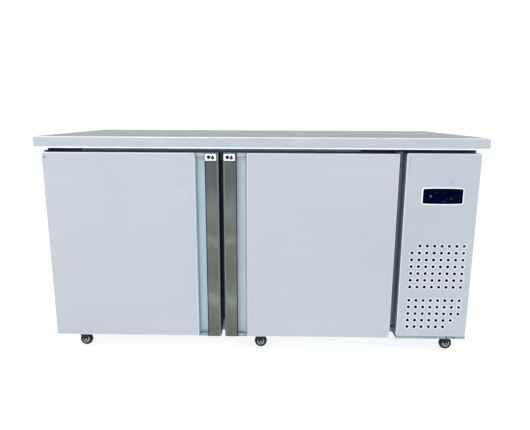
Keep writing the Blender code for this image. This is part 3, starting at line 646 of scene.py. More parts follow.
def cut_box(obj, low, high):
    """Cuts a box out of a piece; the result is applied to its mesh."""
    bm = bmesh.new()
    bmesh.ops.create_cube(bm, size=1.0)
    bmesh.ops.scale(bm, vec=Vector(high) - Vector(low), verts=bm.verts)
    bmesh.ops.translate(bm, vec=(Vector(high) + Vector(low)) / 2, verts=bm.verts)
    mesh = bpy.data.meshes.new("cutter")
    bm.to_mesh(mesh)
    bm.free()
    cutter = add_object("cutter", mesh)
    modifier = obj.modifiers.new("Cut", "BOOLEAN")
    modifier.operation = "DIFFERENCE"
    modifier.solver = "EXACT"
    modifier.object = cutter
    graph = bpy.context.evaluated_depsgraph_get()
    obj.data = bpy.data.meshes.new_from_object(obj.evaluated_get(graph))
    obj.modifiers.clear()
    bpy.data.objects.remove(cutter)


def add_bar(bm, center, angle, length, width, front, back):
    """A thin flat bar facing the front, centred on (x, z)."""
    along = Vector((math.cos(angle), math.sin(angle))) * length / 2
    aside = Vector((-math.sin(angle), math.cos(angle))) * width / 2
    middle = Vector(center)
    corners = (middle + along + aside, middle - along + aside, middle - along - aside, middle + along - aside)
    add_extrusion(bm, [tuple(corner) for corner in corners], front, back)


def joint_place(name):
    return next(Vector(joint["pos_m"]) for joint in frame["joints"] if joint["name"] == name)


# -------------------------------- cabinet

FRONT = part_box("door_left_skin")[0].y  # the doors' faces
CABINET_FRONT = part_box("front_frame")[0].y
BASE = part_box("cabinet_shell")[0].z


def make_worktop():
    """Folded worktop: the top is bare brushed steel, the fascia keeps its film, and it returns underneath."""
    sheet_pan("worktop_pan", "worktop", "+Z", ("top_steel", "fascia_steel"), bend=0.003, corner=0.004,
              lip=0.016, thickness=0.0012)


def make_ledge(side, wall_x, edge_x, thickness, low_y, high_y):
    """A ledge under one end of a shelf, with its free edge rounded."""
    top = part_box(f"shelf_{side}")[0].z - 0.0004
    outline = fillet([(wall_x, top, 0), (edge_x, top, 0.002), (edge_x, top - thickness, 0.002),
                      (wall_x, top - thickness, 0)], 3)
    extrusion(f"{side}_shelf_ledge", [(outline, low_y, high_y)], "liner_white", soften=0.0006)


def make_cabinet():
    """The outer wrap, the liner, the front frame with its opening, the centre post, and above them a lighter
    strip, painted light, and a dark strip over the bay, painted shade.
    """
    sheet_pan("cabinet_wrap", "cabinet_shell", "+Y", "side_steel")
    sheet_pan("liner_tub", "inner_liner", "+Y", "liner_white", bend=0.012, corner=0.012)
    liner_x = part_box("inner_liner")[0].x
    make_ledge("left", liner_x + 0.0008, liner_x + 0.013, 0.0115, -0.255, 0.255)

    frame_low, frame_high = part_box("front_frame")
    post_low, post_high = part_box("centre_mullion")
    opening_low = (liner_x - 0.0003, post_low.z - 0.0003)
    opening_high = (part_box("evaporator_cover")[1].x + 0.0016, post_high.z + 0.0003)
    depth = frame_high.y - frame_low.y
    rolls = ((-0.0015, 0.0, 0.0), (-0.0004, 0.0004, 0.5), (0.0, 0.0015, 0.3), (0.0, depth, 0.0))
    opening = [(rounded_rectangle(opening_low, opening_high, 0.008, inset=inset), at, edge_highlight_shade_wear)
               for inset, at, edge_highlight_shade_wear in rolls]
    sheet_pan("front_frame_moulding", "front_frame", "-Y", "frame_slate", bend=0.001, corner=0.0015,
              holes=[opening], thickness=0.0016)
    sheet_pan("centre_mullion_cover", "centre_mullion", "-Y", "mullion_navy", bend=0.002, corner=0.0008,
              thickness=0.0016)
    _, bay_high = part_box("machine_front_panel")
    frame_x = frame_high.x
    # A lighter strip over the frame's upper band: painted light, the lit part of the frame under the worktop
    strips = (("header_strip", "header_slate", frame_low.x + 0.001, post_high.z + 0.031, frame_x - 0.001),
              # A dark strip over the top of the bay: painted shade under the worktop
              ("bay_header_shade_strip", "mullion_navy", frame_x + 0.0006, bay_high.z + 0.0006, bay_high.x - 0.0013))
    for name, look, left, bottom, right in strips:
        strip = rounded_rectangle((left, bottom), (right, frame_high.z - 0.001), 0.001)
        extrusion(name, [(strip, CABINET_FRONT - 0.0009, CABINET_FRONT - 0.0001)], look, soften=0.0003)
    # A pale tapered foot stands on the base in front of the centre post.
    middle = (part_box("door_left_grip_strip")[1].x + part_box("door_right_grip_strip")[0].x) / 2
    foot = fillet([(middle - 0.0095, BASE + 0.0015, 0.001), (middle + 0.0095, BASE + 0.0015, 0.001),
                   (middle + 0.0022, BASE + 0.046, 0.001), (middle - 0.001, BASE + 0.046, 0.001)], 3)
    extrusion("centre_post_foot", [(foot, CABINET_FRONT - 0.0022, CABINET_FRONT - 0.0003)], "tray_steel",
              soften=0.0004)


def make_shelf(side):
    """A rack of round coated wire: a rim, close-set bars on top, and three cross bars below."""
    name = f"shelf_{side}"
    low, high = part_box(name)
    rim_radius, pitch = 0.0025, 0.026
    left, right = low.x + rim_radius, high.x - rim_radius
    front, back = low.y + rim_radius, high.y - rim_radius
    z = high.z - rim_radius
    rim = [(x, y, z) for x, y in rounded_rectangle((left, front), (right, back), 0.012)]
    wires(f"{name}_rim", [rim], rim_radius, name, cyclic=True)
    width = high.x - low.x
    count = round(width / pitch)
    places = [low.x + width * k / count for k in range(1, count)]
    wires(f"{name}_bars", [[(x, front, z + 0.001), (x, back, z + 0.001)] for x in places], 0.0015)
    crossing = [[(left, y, z - 0.0007), (right, y, z - 0.0007)] for y in (-0.13, 0.0, 0.13)]
    wires(f"{name}_cross_bars", crossing, 0.0018)


# -------------------------------- doors

CHANNEL_FLOOR = 0.0225  # depth of the recessed channel's floor behind the door's face
CHANNEL_CAP = 0.012     # height of the channel's end caps
LABEL_HEIGHT = 0.0225


def make_door(side):
    """The door's skin, inner panel, recessed channel with end caps, grip strip, dark strips painted as shade
    along the grip strip's edges, seal and label.
    """
    body = f"door_{side}"
    left = side == "left"
    strip_low, strip_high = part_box(f"{body}_grip_strip")
    skin_low, skin_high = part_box(f"{body}_skin")
    edge, skin_edge, hinge_edge = ((strip_high.x, skin_high.x, skin_low.x) if left
                                   else (strip_low.x, skin_low.x, skin_high.x))
    toward_hinge = -1.0 if left else 1.0
    bottom, top = strip_low.z, strip_high.z
    pivot = joint_place(f"{body}_hinge")

    def at(u):
        """The x of a point at a distance from the free edge."""
        return edge + toward_hinge * u

    def place(corners):
        """(u, y, radius, edge mask) corners as an outline: u from the free edge, y behind the door's face."""
        return fillet([(at(u), FRONT + y, *rest) for u, y, *rest in corners])

    def stand(part, look, corners, spans=((bottom, top),), node=None):
        """A piece with one outline in plan, standing between each pair of heights."""
        outline = place(corners)
        extrusion(f"{body}_{part}", [(outline, -high, -low) for low, high in spans], look, body, node, "+Z")

    notch_x = sorted((hinge_edge + toward_hinge * 0.001, pivot.x - toward_hinge * 0.0165))
    notch = ((notch_x[0], pivot.y - 0.0165, bottom - 0.01), (notch_x[1], skin_high.y + 0.01, bottom + 0.0052))
    skin = sheet_pan(f"{body}_face", f"{body}_skin", "-Y", "door_steel", body, 0.003, 0.0045, stops=(0.0215,),
                     drop=lambda c: abs(c.x - skin_edge) < 0.0005 and c.y > FRONT + CHANNEL_FLOOR - 0.002)
    cut_box(skin, *notch)

    ridge = [(0.076, -0.0015, 0), (0.07, -0.0018, 0), (0.065, -0.005, 0.4), (0.06, -0.0066, 0),
             (0.052, -0.0066, 0), (0.047, -0.005, 0.4), (0.042, -0.0004, 0), (0.038, 0.0, 0),
             (0.0008, 0.0, 0, 0.0025), (0.0002, 0.0003, 0.5, 0.003), (0.0, 0.0012, 0, 0.003)]
    inner = sheet_pan(f"{body}_inner_skin", f"{body}_inner_panel", "+Y", "liner_white", body, corner=0.09,
                      profile=ridge, thickness=0.0008)
    cut_box(inner, *notch)

    wall, far, lip = 0.0025, 0.0792, 0.0015
    floor = CHANNEL_FLOOR
    channel_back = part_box(f"{body}_handle_channel")[1].y - FRONT
    # The edge mask at the panel-side lip paints a dark shade line down the channel
    stand("channel", "channel_plastic",
          [(far, 0.0003, 0.0008, 0.8), (far - wall, 0.0005, 0.0008, 0.8), (far - wall, floor, 0.009),
           (0.034, floor, 0.007), (0.034, lip + 0.003, 0.001), (0.0445, lip + 0.003, 0.0008),
           (0.0445, lip, 0.0004), (0.0015, lip, 0.0015), (0.0015, channel_back, 0.0004),
           (0.004, channel_back, 0.0004), (0.004, lip + wall, 0.0006), (0.0315, lip + wall, 0.001),
           (0.0315, floor + wall, 0.003), (far, floor + wall, 0.003)], node=f"{body}_handle_channel")
    near_u, far_u = 0.035, 0.076
    # The top caps take a darker copy of the channel plastic, painted shade; along each arch the edge mask
    # paints a highlight on the top cap and a dark shade line on the bottom cap
    for end, look, outer_z, inner_z, rise in (
            ("bottom", "channel_plastic", bottom + 0.0002, bottom + CHANNEL_CAP * 0.75, -0.003),
            ("top", "channel_cap", top - 0.0002, top - CHANNEL_CAP, 0.003)):
        arch = [(at(near_u + (far_u - near_u) * k / 8), inner_z + rise * (k / 4 - 1) ** 2, 0.8)
                for k in range(9)]
        arch += [(at(far_u), outer_z, 0.0), (at(near_u), outer_z, 0.0)]
        extrusion(f"{body}_channel_cap_{end}", [(arch, FRONT + 0.005, FRONT + floor + 0.0002)], look, body,
                  soften=0.0008)

    fold, sheet = 0.0058, 0.0012
    # A dark bead along the grip strip's inner edge: a painted shadow line
    stand("strip_shadow_line", "seal_rubber", [(0.0436, -0.0006, 0.0006), (0.0436, -0.0001, 0), (0.0466, -0.0001, 0),
                                        (0.0466, -0.0006, 0.0006)], [(bottom + 0.001, top - 0.001)])
    # Near-black on the grip strip's turned-back edge: painted shade in the gap between the doors
    stand("edge_trim", "edge_trim", [(0.0, fold + 0.0003, 0.0004), (0.0, channel_back, 0.0004),
                                     (sheet, channel_back, 0.0004), (sheet, fold + 0.0003, 0.0004)],
          [(bottom + 0.0004, top - 0.0004)])
    # The edge mask on the strip's fold paints a highlight there
    stand("strip", "strip_steel",
          [(0.0455, 0.0, 0.0003, 0.2), (0.0078, 0.0, 0, 0.0), (0.0066, 0.0, 0, 0.7), (0.0, 0.0, 0.0045, 1.0),
           (0.0, fold, 0.0003), (sheet, fold, 0.0003), (sheet, sheet, 0.0033), (0.0455, sheet, 0.0003)],
          node=f"{body}_grip_strip")

    inner_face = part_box(f"{body}_inner_panel")[0].y - 0.0004 - FRONT
    stand("end_plates", "channel_plastic",
          [(0.0042, 0.0045, 0), (0.0312, 0.0045, 0), (0.0312, floor + 0.0028, 0), (0.0793, floor + 0.0028, 0),
           (0.0793, inner_face, 0), (0.0042, inner_face, 0)],
          [(bottom + 0.0001, bottom + 0.001), (top - 0.001, top - 0.0001)])
    # A near-black bar along the channel's foot, in the same black
    foot_x = sorted((at(near_u), at(far_u)))
    foot = rounded_rectangle((foot_x[0], bottom + 0.0001), (foot_x[1], bottom + 0.0022), 0.0003)
    extrusion(f"{body}_channel_foot", [(foot, FRONT + 0.0043, FRONT + 0.0052)], "edge_trim", body)

    make_seal(body)
    make_label(side, body, at, top)
    if left:
        pin = (hinge_edge - toward_hinge * 0.0095, FRONT + 0.0002, top - 0.017)
        screw_heads("door_left_pin_screw", [pin], -Y, 0.0026, "hinge_paint", body)


def make_seal(body):
    """The door's bellows seal: one (inset, depth) profile all round."""
    bellows = ((0.0, 0.0079), (0.0008, 0.0062), (0.0032, 0.005), (0.0012, 0.0036), (0.003, 0.0022),
               (0.0022, 0.0), (0.0118, 0.0), (0.011, 0.0022), (0.0128, 0.0036), (0.0108, 0.005),
               (0.0132, 0.0062), (0.014, 0.0079))
    low, high, origin, _ = face_place(*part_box(f"{body}_gasket"), "-Y")
    bm = bmesh.new()
    rings = [(rounded_rectangle(low, high, 0.016, inset=inset), depth, 0.0) for inset, depth in bellows]
    add_rings(bm, rings, origin=origin, around=True)
    finish(f"{body}_seal", bm, "seal_rubber", body, f"{body}_gasket")


def make_label(side, body, at, top):
    """A white plate on the strip with a snowflake and a drop, and a thin dark line just under the plate."""
    near, far = (0.0085, 0.0452) if side == "left" else (0.0035, 0.04)
    left, right = sorted((at(near), at(far)))
    high = top - 0.003
    low = high - LABEL_HEIGHT
    plate = rounded_rectangle((left, low), (right, high), 0.0012)
    extrusion(f"label_{side}", [(plate, FRONT - 0.0008, FRONT - 0.0001)], "label_film", body, soften=0.0002)
    ink = (FRONT - 0.00105, FRONT - 0.0007)
    middle_z = (low + high) / 2
    flake_x, drop_x = left + (right - left) * 0.33, left + (right - left) * 0.69
    bm = bmesh.new()
    turns = [math.pi / 6 + k * math.pi / 3 for k in range(6)]
    for turn in turns[:3]:
        add_bar(bm, (flake_x, middle_z), turn, 0.0132, 0.0034, *ink)
    for turn in turns:
        spot = (flake_x + 0.004 * math.cos(turn), middle_z + 0.004 * math.sin(turn))
        add_bar(bm, spot, turn + math.pi / 2, 0.005, 0.0022, *ink)
    drop = []
    for step in range(24):
        turn = math.tau * step / 24
        above = max(math.sin(turn), 0)
        drop.append((drop_x + 0.0058 * math.cos(turn) * (1 - 0.35 * above),
                     middle_z - 0.0016 + (0.006 + 0.0034 * above ** 6) * math.sin(turn)))
    add_extrusion(bm, drop, *ink)
    dark_line = [(left, low - 0.0026), (right, low - 0.0026), (right, low - 0.001), (left, low - 0.001)]
    add_extrusion(bm, dark_line, FRONT - 0.0003, FRONT + 0.0001)
    finish(f"label_{side}_marks", bm, "label_ink", body)


def make_hinge_screws(end, drop, radius):
    """Screws of the hinge brackets, three on each plate, at a distance below its upper edge."""
    places = []
    for side, inward in (("left", 1.0), ("right", -1.0)):
        low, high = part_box(f"hinge_bracket_{end}_{side}")
        start = low.x if side == "left" else high.x
        places += [(start + inward * (0.04 + 0.03 * k), high.y - 0.003, high.z - drop) for k in range(3)]
    screw_heads(f"hinge_screws_{end}", places, -Y, radius)


# -------------------------------- machine bay

HOLE_RADIUS = 0.0055
FIRST_HOLE = (0.5208, 0.4142)
HOLE_PITCH = (0.025, 0.0246)
# Row, first column, count: a free row between two groups, and free corners at the top and at the bottom
HOLE_ROWS = ((0, 1, 7), *((row, 0, 8) for row in (1, 2, 3, 4, 5, 6, 8, 9, 10)), (11, 0, 7), (12, 0, 6))
# Share of the hole's radius, depth, edge mask: a pressed rim round each hole, painted pale as a highlight with
# some rubbing
HOLE_RIM = ((1.66, 0.0, 0.0), (1.32, 0.0, 0.85), (1.06, 0.0, 0.85), (1.0, 0.0005, 0.3))
BASE_SCREWS = ((0.663, 0.0052), (0.6886, 0.004))  # x, and height above the base
SCRATCHES = ((0.4952, 0.703, 0.02), (0.495, 0.683, 0.009), (0.4938, 0.6655, 0.0085))  # x, z, length
LOUVRES = 14
FIRST_LOUVRE = 0.14
LOUVRE_PITCH = 0.034


def make_machine_bay():
    """The bay's side panel, back grille, cord gland and front panel, and the screws and gusset beside it."""
    side_low, side_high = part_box("machine_side_panel")
    side = sheet_pan("bay_side_panel", "machine_side_panel", "+X", "side_steel")
    cut_box(side, (side_low.x - 0.01, side_low.y - 0.01, BASE - 0.01),
            (side_high.x - SHEET, side_high.y + 0.01, BASE + 0.0103))
    make_grille()
    make_gland()
    make_perforated_panel()
    places = [(x, FRONT + 0.0015, BASE + height) for x, height in BASE_SCREWS]
    screw_heads("base_screws", places, -Y, 0.003, "hinge_paint")
    panel_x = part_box("machine_front_panel")[0].x
    post_x = (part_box("machine_base_tray")[0].x + panel_x) / 2
    places = [(post_x + 0.007, CABINET_FRONT + 0.0003, BASE + 0.0228),
              (post_x - 0.001, CABINET_FRONT + 0.0003, BASE + 0.61)]
    screw_heads("bay_post_screws", places, -Y, 0.0046, "hinge_paint")
    corner_x, leg = panel_x - 0.001, 0.0165
    gusset = fillet([(corner_x - leg, BASE + 0.0015, 0.0005), (corner_x, BASE + 0.0015, 0.0005),
                     (corner_x - leg, BASE + 0.026, 0.0005)], 3)
    extrusion("bay_gusset", [(gusset, CABINET_FRONT - 0.002, CABINET_FRONT - 0.0003)], "channel_cap",
              soften=0.0004)


def add_grid(bm, rows):
    """Four-sided faces between rows of vertices."""
    for first, second in zip(rows, rows[1:]):
        for k in range(len(first) - 1):
            bm.faces.new((first[k], first[k + 1], second[k + 1], second[k]))


def make_grille():
    """Back panel with pressed louvres: a slot and a hood over it, from a row of half ellipses."""
    low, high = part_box("machine_back_grille")
    left, right = 0.49, 0.69
    slots = [FIRST_LOUVRE + LOUVRE_PITCH * number for number in range(LOUVRES)]
    outlines = [(rounded_rectangle((z, left), (z + 0.01, right), 0.004, 3), 0.3) for z in slots]
    outlines.append((circle((0.68, 0.665), 0.0085), 0.5))
    sheet_pan("bay_back_grille", "machine_back_grille", "+Y", "side_steel", bend=0.002, corner=0.002,
              holes=[[(outline, 0.0, edge_highlight_shade_wear), (outline, SHEET, 0.0)] for outline, edge_highlight_shade_wear in outlines])
    bm = bmesh.new()
    steps = 8
    for z in slots:
        rows = []
        for row in range(steps + 1):
            share = row / steps
            turn = math.pi / 2 * share
            height = z + 0.015 - 0.014 * math.sin(turn)
            proud = 0.0052 * (1 - math.cos(turn)) ** 0.6
            inset = 0.006 * (1 - share)
            ends = ((left - 0.003 + inset * 0.3, 0.0), (left + 0.006 + inset, 1.0),
                    (right - 0.006 - inset, 1.0), (right + 0.003 - inset * 0.3, 0.0))
            rows.append([bm.verts.new((x, high.y + 0.0001 + proud * lift, height)) for x, lift in ends])
        add_grid(bm, rows)
    for face in bm.faces:
        if face.normal.dot(Y) < 0:
            face.normal_flip()
    thicken(finish("bay_louvre_hoods", bm, "side_steel", angle=50, closed=False), 0.0008)
    screws = [(x, high.y, z) for x in (low.x + 0.02, high.x - 0.018) for z in (0.11, 0.74)]
    screw_heads("bay_back_screws", screws, Y, 0.0038)


def make_gland():
    """Cord gland: a flanged bush with a hex nut on its outer side."""
    low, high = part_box("power_cord_gland")
    center = Vector(((low.x + high.x) / 2, 0.3235, (low.z + high.z) / 2))
    bush = [(0.0045, 0.0112), (0.0053, 0.012), (0.007, 0.012), (0.0078, 0.0112), (0.008, 0.009),
            (0.0112, 0.0085), (0.0119, 0.0079), (0.0119, 0.0061), (0.0113, 0.0056), (0.008, 0.0055),
            (0.008, 0.004), (0.0074, 0.0034), (0.008, 0.0028), (0.008, -0.0094), (0.0074, -0.01),
            (0.0051, -0.01), (0.0045, -0.0094)]
    lathe("cord_gland_bush", bush, center, Y, "black_plastic", node="power_cord_gland")
    bm = bmesh.new()
    outlines = (circle((center.x, center.z), 0.0116, 6), list(reversed(circle((center.x, center.z), 0.0082))))
    nut, bore = (add_rings(bm, [(outline, center.y - 0.001, 0.0), (outline, center.y - 0.0056, 0.0)])
                 for outline in outlines)
    for outer, inner in zip(nut, bore):
        fill_flat(bm, outer, [inner])
    finish("cord_gland_nut", bm, "black_plastic")


def make_perforated_panel():
    """Front panel of the machine bay: pressed vent holes with bare rims, and the controller's window."""
    holes = []
    for row, start, count in HOLE_ROWS:
        for column in range(start, start + count):
            center = (FIRST_HOLE[0] + column * HOLE_PITCH[0], FIRST_HOLE[1] - row * HOLE_PITCH[1])
            holes.append([(circle(center, HOLE_RADIUS * share, 20), depth, edge_highlight_shade_wear)
                          for share, depth, edge_highlight_shade_wear in HOLE_RIM])
    lens_low, lens_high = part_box("controller_lens")
    housing_low, housing_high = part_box("controller_housing")
    middle = ((housing_low.x + housing_high.x) / 2, (lens_low.z + lens_high.z) / 2)
    window = centred_rectangle(middle, 0.0605, 0.0195, 0.001)
    holes.append([(window, 0.0, 0.0), (window, SHEET, 0.0)])
    sheet_pan("bay_front_panel", "machine_front_panel", "-Y", "bay_steel", corner=0.0035, holes=holes)


def make_bay_scuffs():
    """A broken scratch near the panel's top left corner and a small rubbed spot above the controller."""
    bm = bmesh.new()
    depths = (FRONT - 0.00015, FRONT + 0.0003)
    for x, z, length in SCRATCHES:
        add_bar(bm, (x, z), math.radians(89), length, 0.0022, *depths)
    add_extrusion(bm, circle((0.637, 0.635), 0.003, 20), *depths)
    finish("bay_panel_scuffs", bm, "rubbed_steel")


# -------------------------------- controller

def barrel(center, width, height, bulge, corner):
    """Straight sides, a top and bottom that bow outwards, and rounded corners, as an (x, z) outline."""
    half = width / 2
    upper = []
    for start, middle in ((0, half - corner), (90, corner - half)):
        for step in range(5):
            turn = math.radians(start + 90 * step / 4)
            upper.append((middle + corner * math.cos(turn), height / 2 - corner + corner * math.sin(turn)))
        if start == 0:
            for step in range(1, 12):
                x = (half - corner) * (1 - step / 6)
                upper.append((x, height / 2 + bulge * (1 - (x / half) ** 2)))
    return [(center[0] + sign * x, center[1] + sign * z) for sign in (1, -1) for x, z in upper]


def make_controller():
    """Barrel-shaped bezel with a pale ring round it, a painted highlight, a tinted window, two lamps, faint
    marks and three round keys.
    """
    low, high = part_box("controller_housing")
    center = ((low.x + high.x) / 2, (low.z + high.z) / 2)
    width = high.x - low.x
    height = 0.0488
    bulge = 0.0016
    face = low.y

    def barrels(profile, corner):
        """Rings for (inset, depth) steps from the housing's edge."""
        return [(barrel(center, width - 2 * inset, height - 2 * inset, bulge, corner(inset)), depth, 0.0)
                for inset, depth in profile]

    # A pale ring round the bezel: a painted highlight
    rim = ((-0.0045, FRONT - 0.0002), (-0.0045, FRONT - 0.001), (-0.0038, FRONT - 0.0022),
           (-0.0022, face + 0.0006), (-0.0006, face + 0.0006), (0.0, face + 0.0016), (0.0, FRONT - 0.0002))
    bm = bmesh.new()
    add_rings(bm, barrels(rim, lambda inset: 0.0035 - inset), around=True)
    finish("controller_rim", bm, "rim_white")

    lens_low, lens_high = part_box("controller_lens")
    keys = [(f"controller_key_{number}", *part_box(f"controller_key_{number}")) for number in (1, 2, 3)]
    window = rounded_rectangle((lens_low.x - 0.0006, lens_low.z - 0.0002),
                               (lens_high.x + 0.0006, lens_high.z + 0.0002), 0.003)
    wells = [(circle(((key_low.x + key_high.x) / 2, center[1]), 0.0047), 0.006)
             for _, key_low, key_high in keys]
    bm = bmesh.new()
    edge = ((0.0001, face + 0.0012), (0.0005, face + 0.0004), (0.0013, face + 0.0001))
    outer = add_rings(bm, barrels(edge, lambda inset: 0.003))[-1]
    openings = []
    for outline, depth in ((window, 0.0021), *wells):
        near, far = add_rings(bm, [(outline, face + 0.0001, 0.0), (outline, face + depth, 0.0)])
        bm.faces.new(far)
        openings.append(near)
    fill_flat(bm, outer, openings)
    finish("controller_face", bm, "bezel_gloss", node="controller_housing")
    body = centred_rectangle(center, 0.059, 0.0178, 0.002)
    extrusion("controller_body", [(body, face + 0.0065, high.y)], "black_plastic", soften=0.0008)

    glass = rounded_rectangle((lens_low.x, lens_low.z), (lens_high.x, lens_high.z), 0.0025)
    extrusion("controller_window", [(glass, lens_low.y, lens_high.y)], "tinted_window", node="controller_lens",
              soften=0.0008)
    front = lens_low.y - 0.0003
    span = lens_high.x - lens_low.x
    # Along the window's width, above its middle, and radius: the second lamp is on the bezel beside it
    for look, y, share, lift, radius in (("lamp_white", front, 0.235, 0.0, 0.0032),
                                         ("lamp_teal", face, 1.1, -0.0072, 0.0056)):
        dome = [(0.0, 0.0003), (radius * 0.6, 0.0002), (radius, 0.0), (radius, -0.0006), (0.0, -0.0006)]
        lathe(f"controller_{look}", dome, (lens_low.x + span * share, y, center[1] + lift), -Y, look, steps=24,
              closed=False)
    bm = bmesh.new()
    for share, lift, length in ((0.46, 0.0125, 0.006), (0.78, 0.01, 0.0045), (0.9, -0.0085, 0.0045),
                                (0.8, -0.0165, 0.0075), (1.44, -0.016, 0.003)):
        add_bar(bm, (lens_low.x + span * share, center[1] + lift), 0.0, length, 0.0016, front, front + 0.0005)
    finish("controller_marks", bm, "faint_mark")

    for number, (key, key_low, key_high) in enumerate(keys, 1):
        radius = (key_high.x - key_low.x) / 2
        cap = [(0.0, 0.0004), (radius * 0.45, 0.0002), (radius * 0.7, -0.0001), (radius * 0.9, 0.0),
               (radius, -0.0005), (radius, -0.0036), (0.0, -0.0036)]
        place = ((key_low.x + key_high.x) / 2, key_low.y, center[1])
        lathe(f"key_cap_{number}", cap, place, -Y, "key_plastic", key, key, 28, closed=False)


# -------------------------------- cold store and fans

def make_rotor(name, axis, hub_radius, hub_length, bore, blades=5):
    """A moulded fan: a rounded hub with broad, twisted, cambered blades."""
    low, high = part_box(name)
    center = joint_place(f"fan_{name.removesuffix('_fan')}_spin")
    reach = max(high.z - center.z, center.z - low.z, high.x - center.x, high.y - center.y) - 0.0005
    half = hub_length / 2
    hub = [(bore, half - 0.0004), (bore + 0.002, half), (hub_radius - 0.003, half), (hub_radius, half - 0.003),
           (hub_radius, -half), (hub_radius - 0.0015, -half), (hub_radius - 0.0015, half - 0.0035),
           (bore + 0.0025, half - 0.0018), (bore + 0.002, -half), (bore, -half)]
    lathe(f"{name}_hub", hub, center, axis, "black_plastic", name, name, 36)
    toward = directions(axis)
    root = hub_radius - 0.001
    across, along = 8, 7
    bm = bmesh.new()
    for blade in range(blades):
        rows = []
        for row in range(along + 1):
            share = row / along
            radius = root + (reach - root) * share
            spread = math.radians(26 + 4 * math.sin(math.pi * share))
            lift = min(half * 0.92, 0.0068) * (1.0 - 0.3 * share)
            line = []
            for column in range(across + 1):
                place = 2 * column / across - 1
                turn = math.tau * blade / blades + math.radians(14) * share + spread * place
                rounding = radius - 0.1 * reach * share ** 3 * abs(place) ** 4
                height = lift * (place + 0.25 * (1 - place ** 2))
                line.append(bm.verts.new(center + axis * height + toward(turn) * rounding))
            rows.append(line)
        add_grid(bm, rows)
    thicken(finish(f"{name}_blades", bm, "black_plastic", name, angle=60, closed=False), 0.0014, 0.0)


def fan_collar(across, up, radius, rolls):
    """A round opening with a rolled edge, from (growth, depth, edge mask) steps."""
    return [(circle((across, up), radius + growth, 48), depth, edge_highlight_shade_wear) for growth, depth, edge_highlight_shade_wear in rolls]


def make_motor(name, axis, center, radius, half, shaft, reach_to_fan, arm):
    """A round motor can with its shaft towards the fan, held by four flat arms."""
    can = [(0.0, half), (radius * 0.55, half), (radius * 0.8, half - 0.0012), (radius, half - 0.0034),
           (radius, -half + 0.002), (radius * 0.92, -half), (shaft * 1.6, -half), (shaft, -half - 0.0006),
           (shaft, -reach_to_fan), (0.0, -reach_to_fan)]
    toward = directions(axis)
    bm = bmesh.new()
    add_lathe(bm, can, center, axis, 32, closed=False)
    for k in range(4):
        outwards = toward(math.pi / 2 * k)
        aside = axis.cross(outwards)
        near, far = center + outwards * radius * 0.7, center + outwards * arm
        bottom, top = ([bm.verts.new(place + aside * width + axis * height)
                        for place, width in ((near, -0.005), (far, -0.0038), (far, 0.0038), (near, 0.005))]
                       for height in (0.0016, half - 0.0006))
        join_loops(bm, bottom, top)
        bm.faces.new(bottom)
        bm.faces.new(top)
    finish(name, bm, "black_paint")


def make_evaporator():
    """Folded cover with a fan opening behind a wire guard, air slots, its shelf ledge and the fan's motor."""
    low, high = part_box("evaporator_cover")
    face_x = low.x + 0.011
    fan = joint_place("fan_evaporator_spin")
    collar = fan_collar(fan.z, fan.y, 0.078, ((0.004, 0.0, 0.0), (0.0015, 0.0006, 0.6), (0.0, 0.003, 0.0),
                                              (0.0, 0.0275, 0.0), (0.0012, 0.028, 0.0)))
    slots = []
    for z in (0.318 + 0.016 * number for number in range(4)):
        outline = rounded_rectangle((z, -0.15), (z + 0.007, 0.18), 0.0034, 3)
        slots.append([(outline, 0.0, 0.3), (outline, 0.0015, 0.0)])
    sheet_pan("evaporator_housing", "evaporator_cover", "-X", "liner_white", bend=0.006, corner=0.008,
              holes=[collar, *slots], box=(Vector((face_x, low.y, low.z)), high), thickness=0.0015)
    make_ledge("right", face_x + 0.0008, low.x, 0.0116, -0.19, 0.22)
    guard = Vector((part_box("evaporator_fan")[0].x - 0.003, fan.y, fan.z))
    toward = directions(X)
    rings = [[guard + toward(math.tau * k / 48) * (0.018 + 0.0125 * ring) for k in range(48)]
             for ring in range(6)]
    wires("evaporator_guard_rings", rings, 0.001, cyclic=True)
    spokes = []
    for k in range(4):
        reach = toward(math.pi / 4 + math.pi / 2 * k)
        start, end = (guard + X * 0.0012 + reach * radius for radius in (0.0165, 0.0865))
        spokes.append([start, end, end + X * 0.0025])
    wires("evaporator_guard_spokes", spokes, 0.0012)
    make_motor("evaporator_motor", X, Vector((0.359, fan.y, fan.z)), 0.024, 0.007, 0.003, 0.0182, 0.0815)
    screws = [(face_x, y, z) for y in (low.y + 0.014, high.y - 0.014) for z in (low.z + 0.012, high.z - 0.014)]
    screw_heads("evaporator_screws", screws, -X, 0.0036)


def make_condenser_fan_frame():
    """Folded shroud round the condenser fan, and its motor."""
    low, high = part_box("condenser_fan_frame")
    fan = joint_place("fan_condenser_spin")
    collar = fan_collar(fan.z, fan.x, 0.09, ((0.004, 0.0, 0.0), (0.0015, 0.0006, 0.4), (0.0, 0.003, 0.0),
                                             (0.0, high.y - low.y - 0.001, 0.0)))
    sheet_pan("condenser_shroud", "condenser_fan_frame", "+Y", "black_paint", bend=0.003, corner=0.006,
              holes=[collar], thickness=0.0015)
    make_motor("condenser_motor", Y, Vector((fan.x, -0.202, fan.z)), 0.027, 0.0065, 0.004, 0.0225, 0.0935)


# -------------------------------- casters

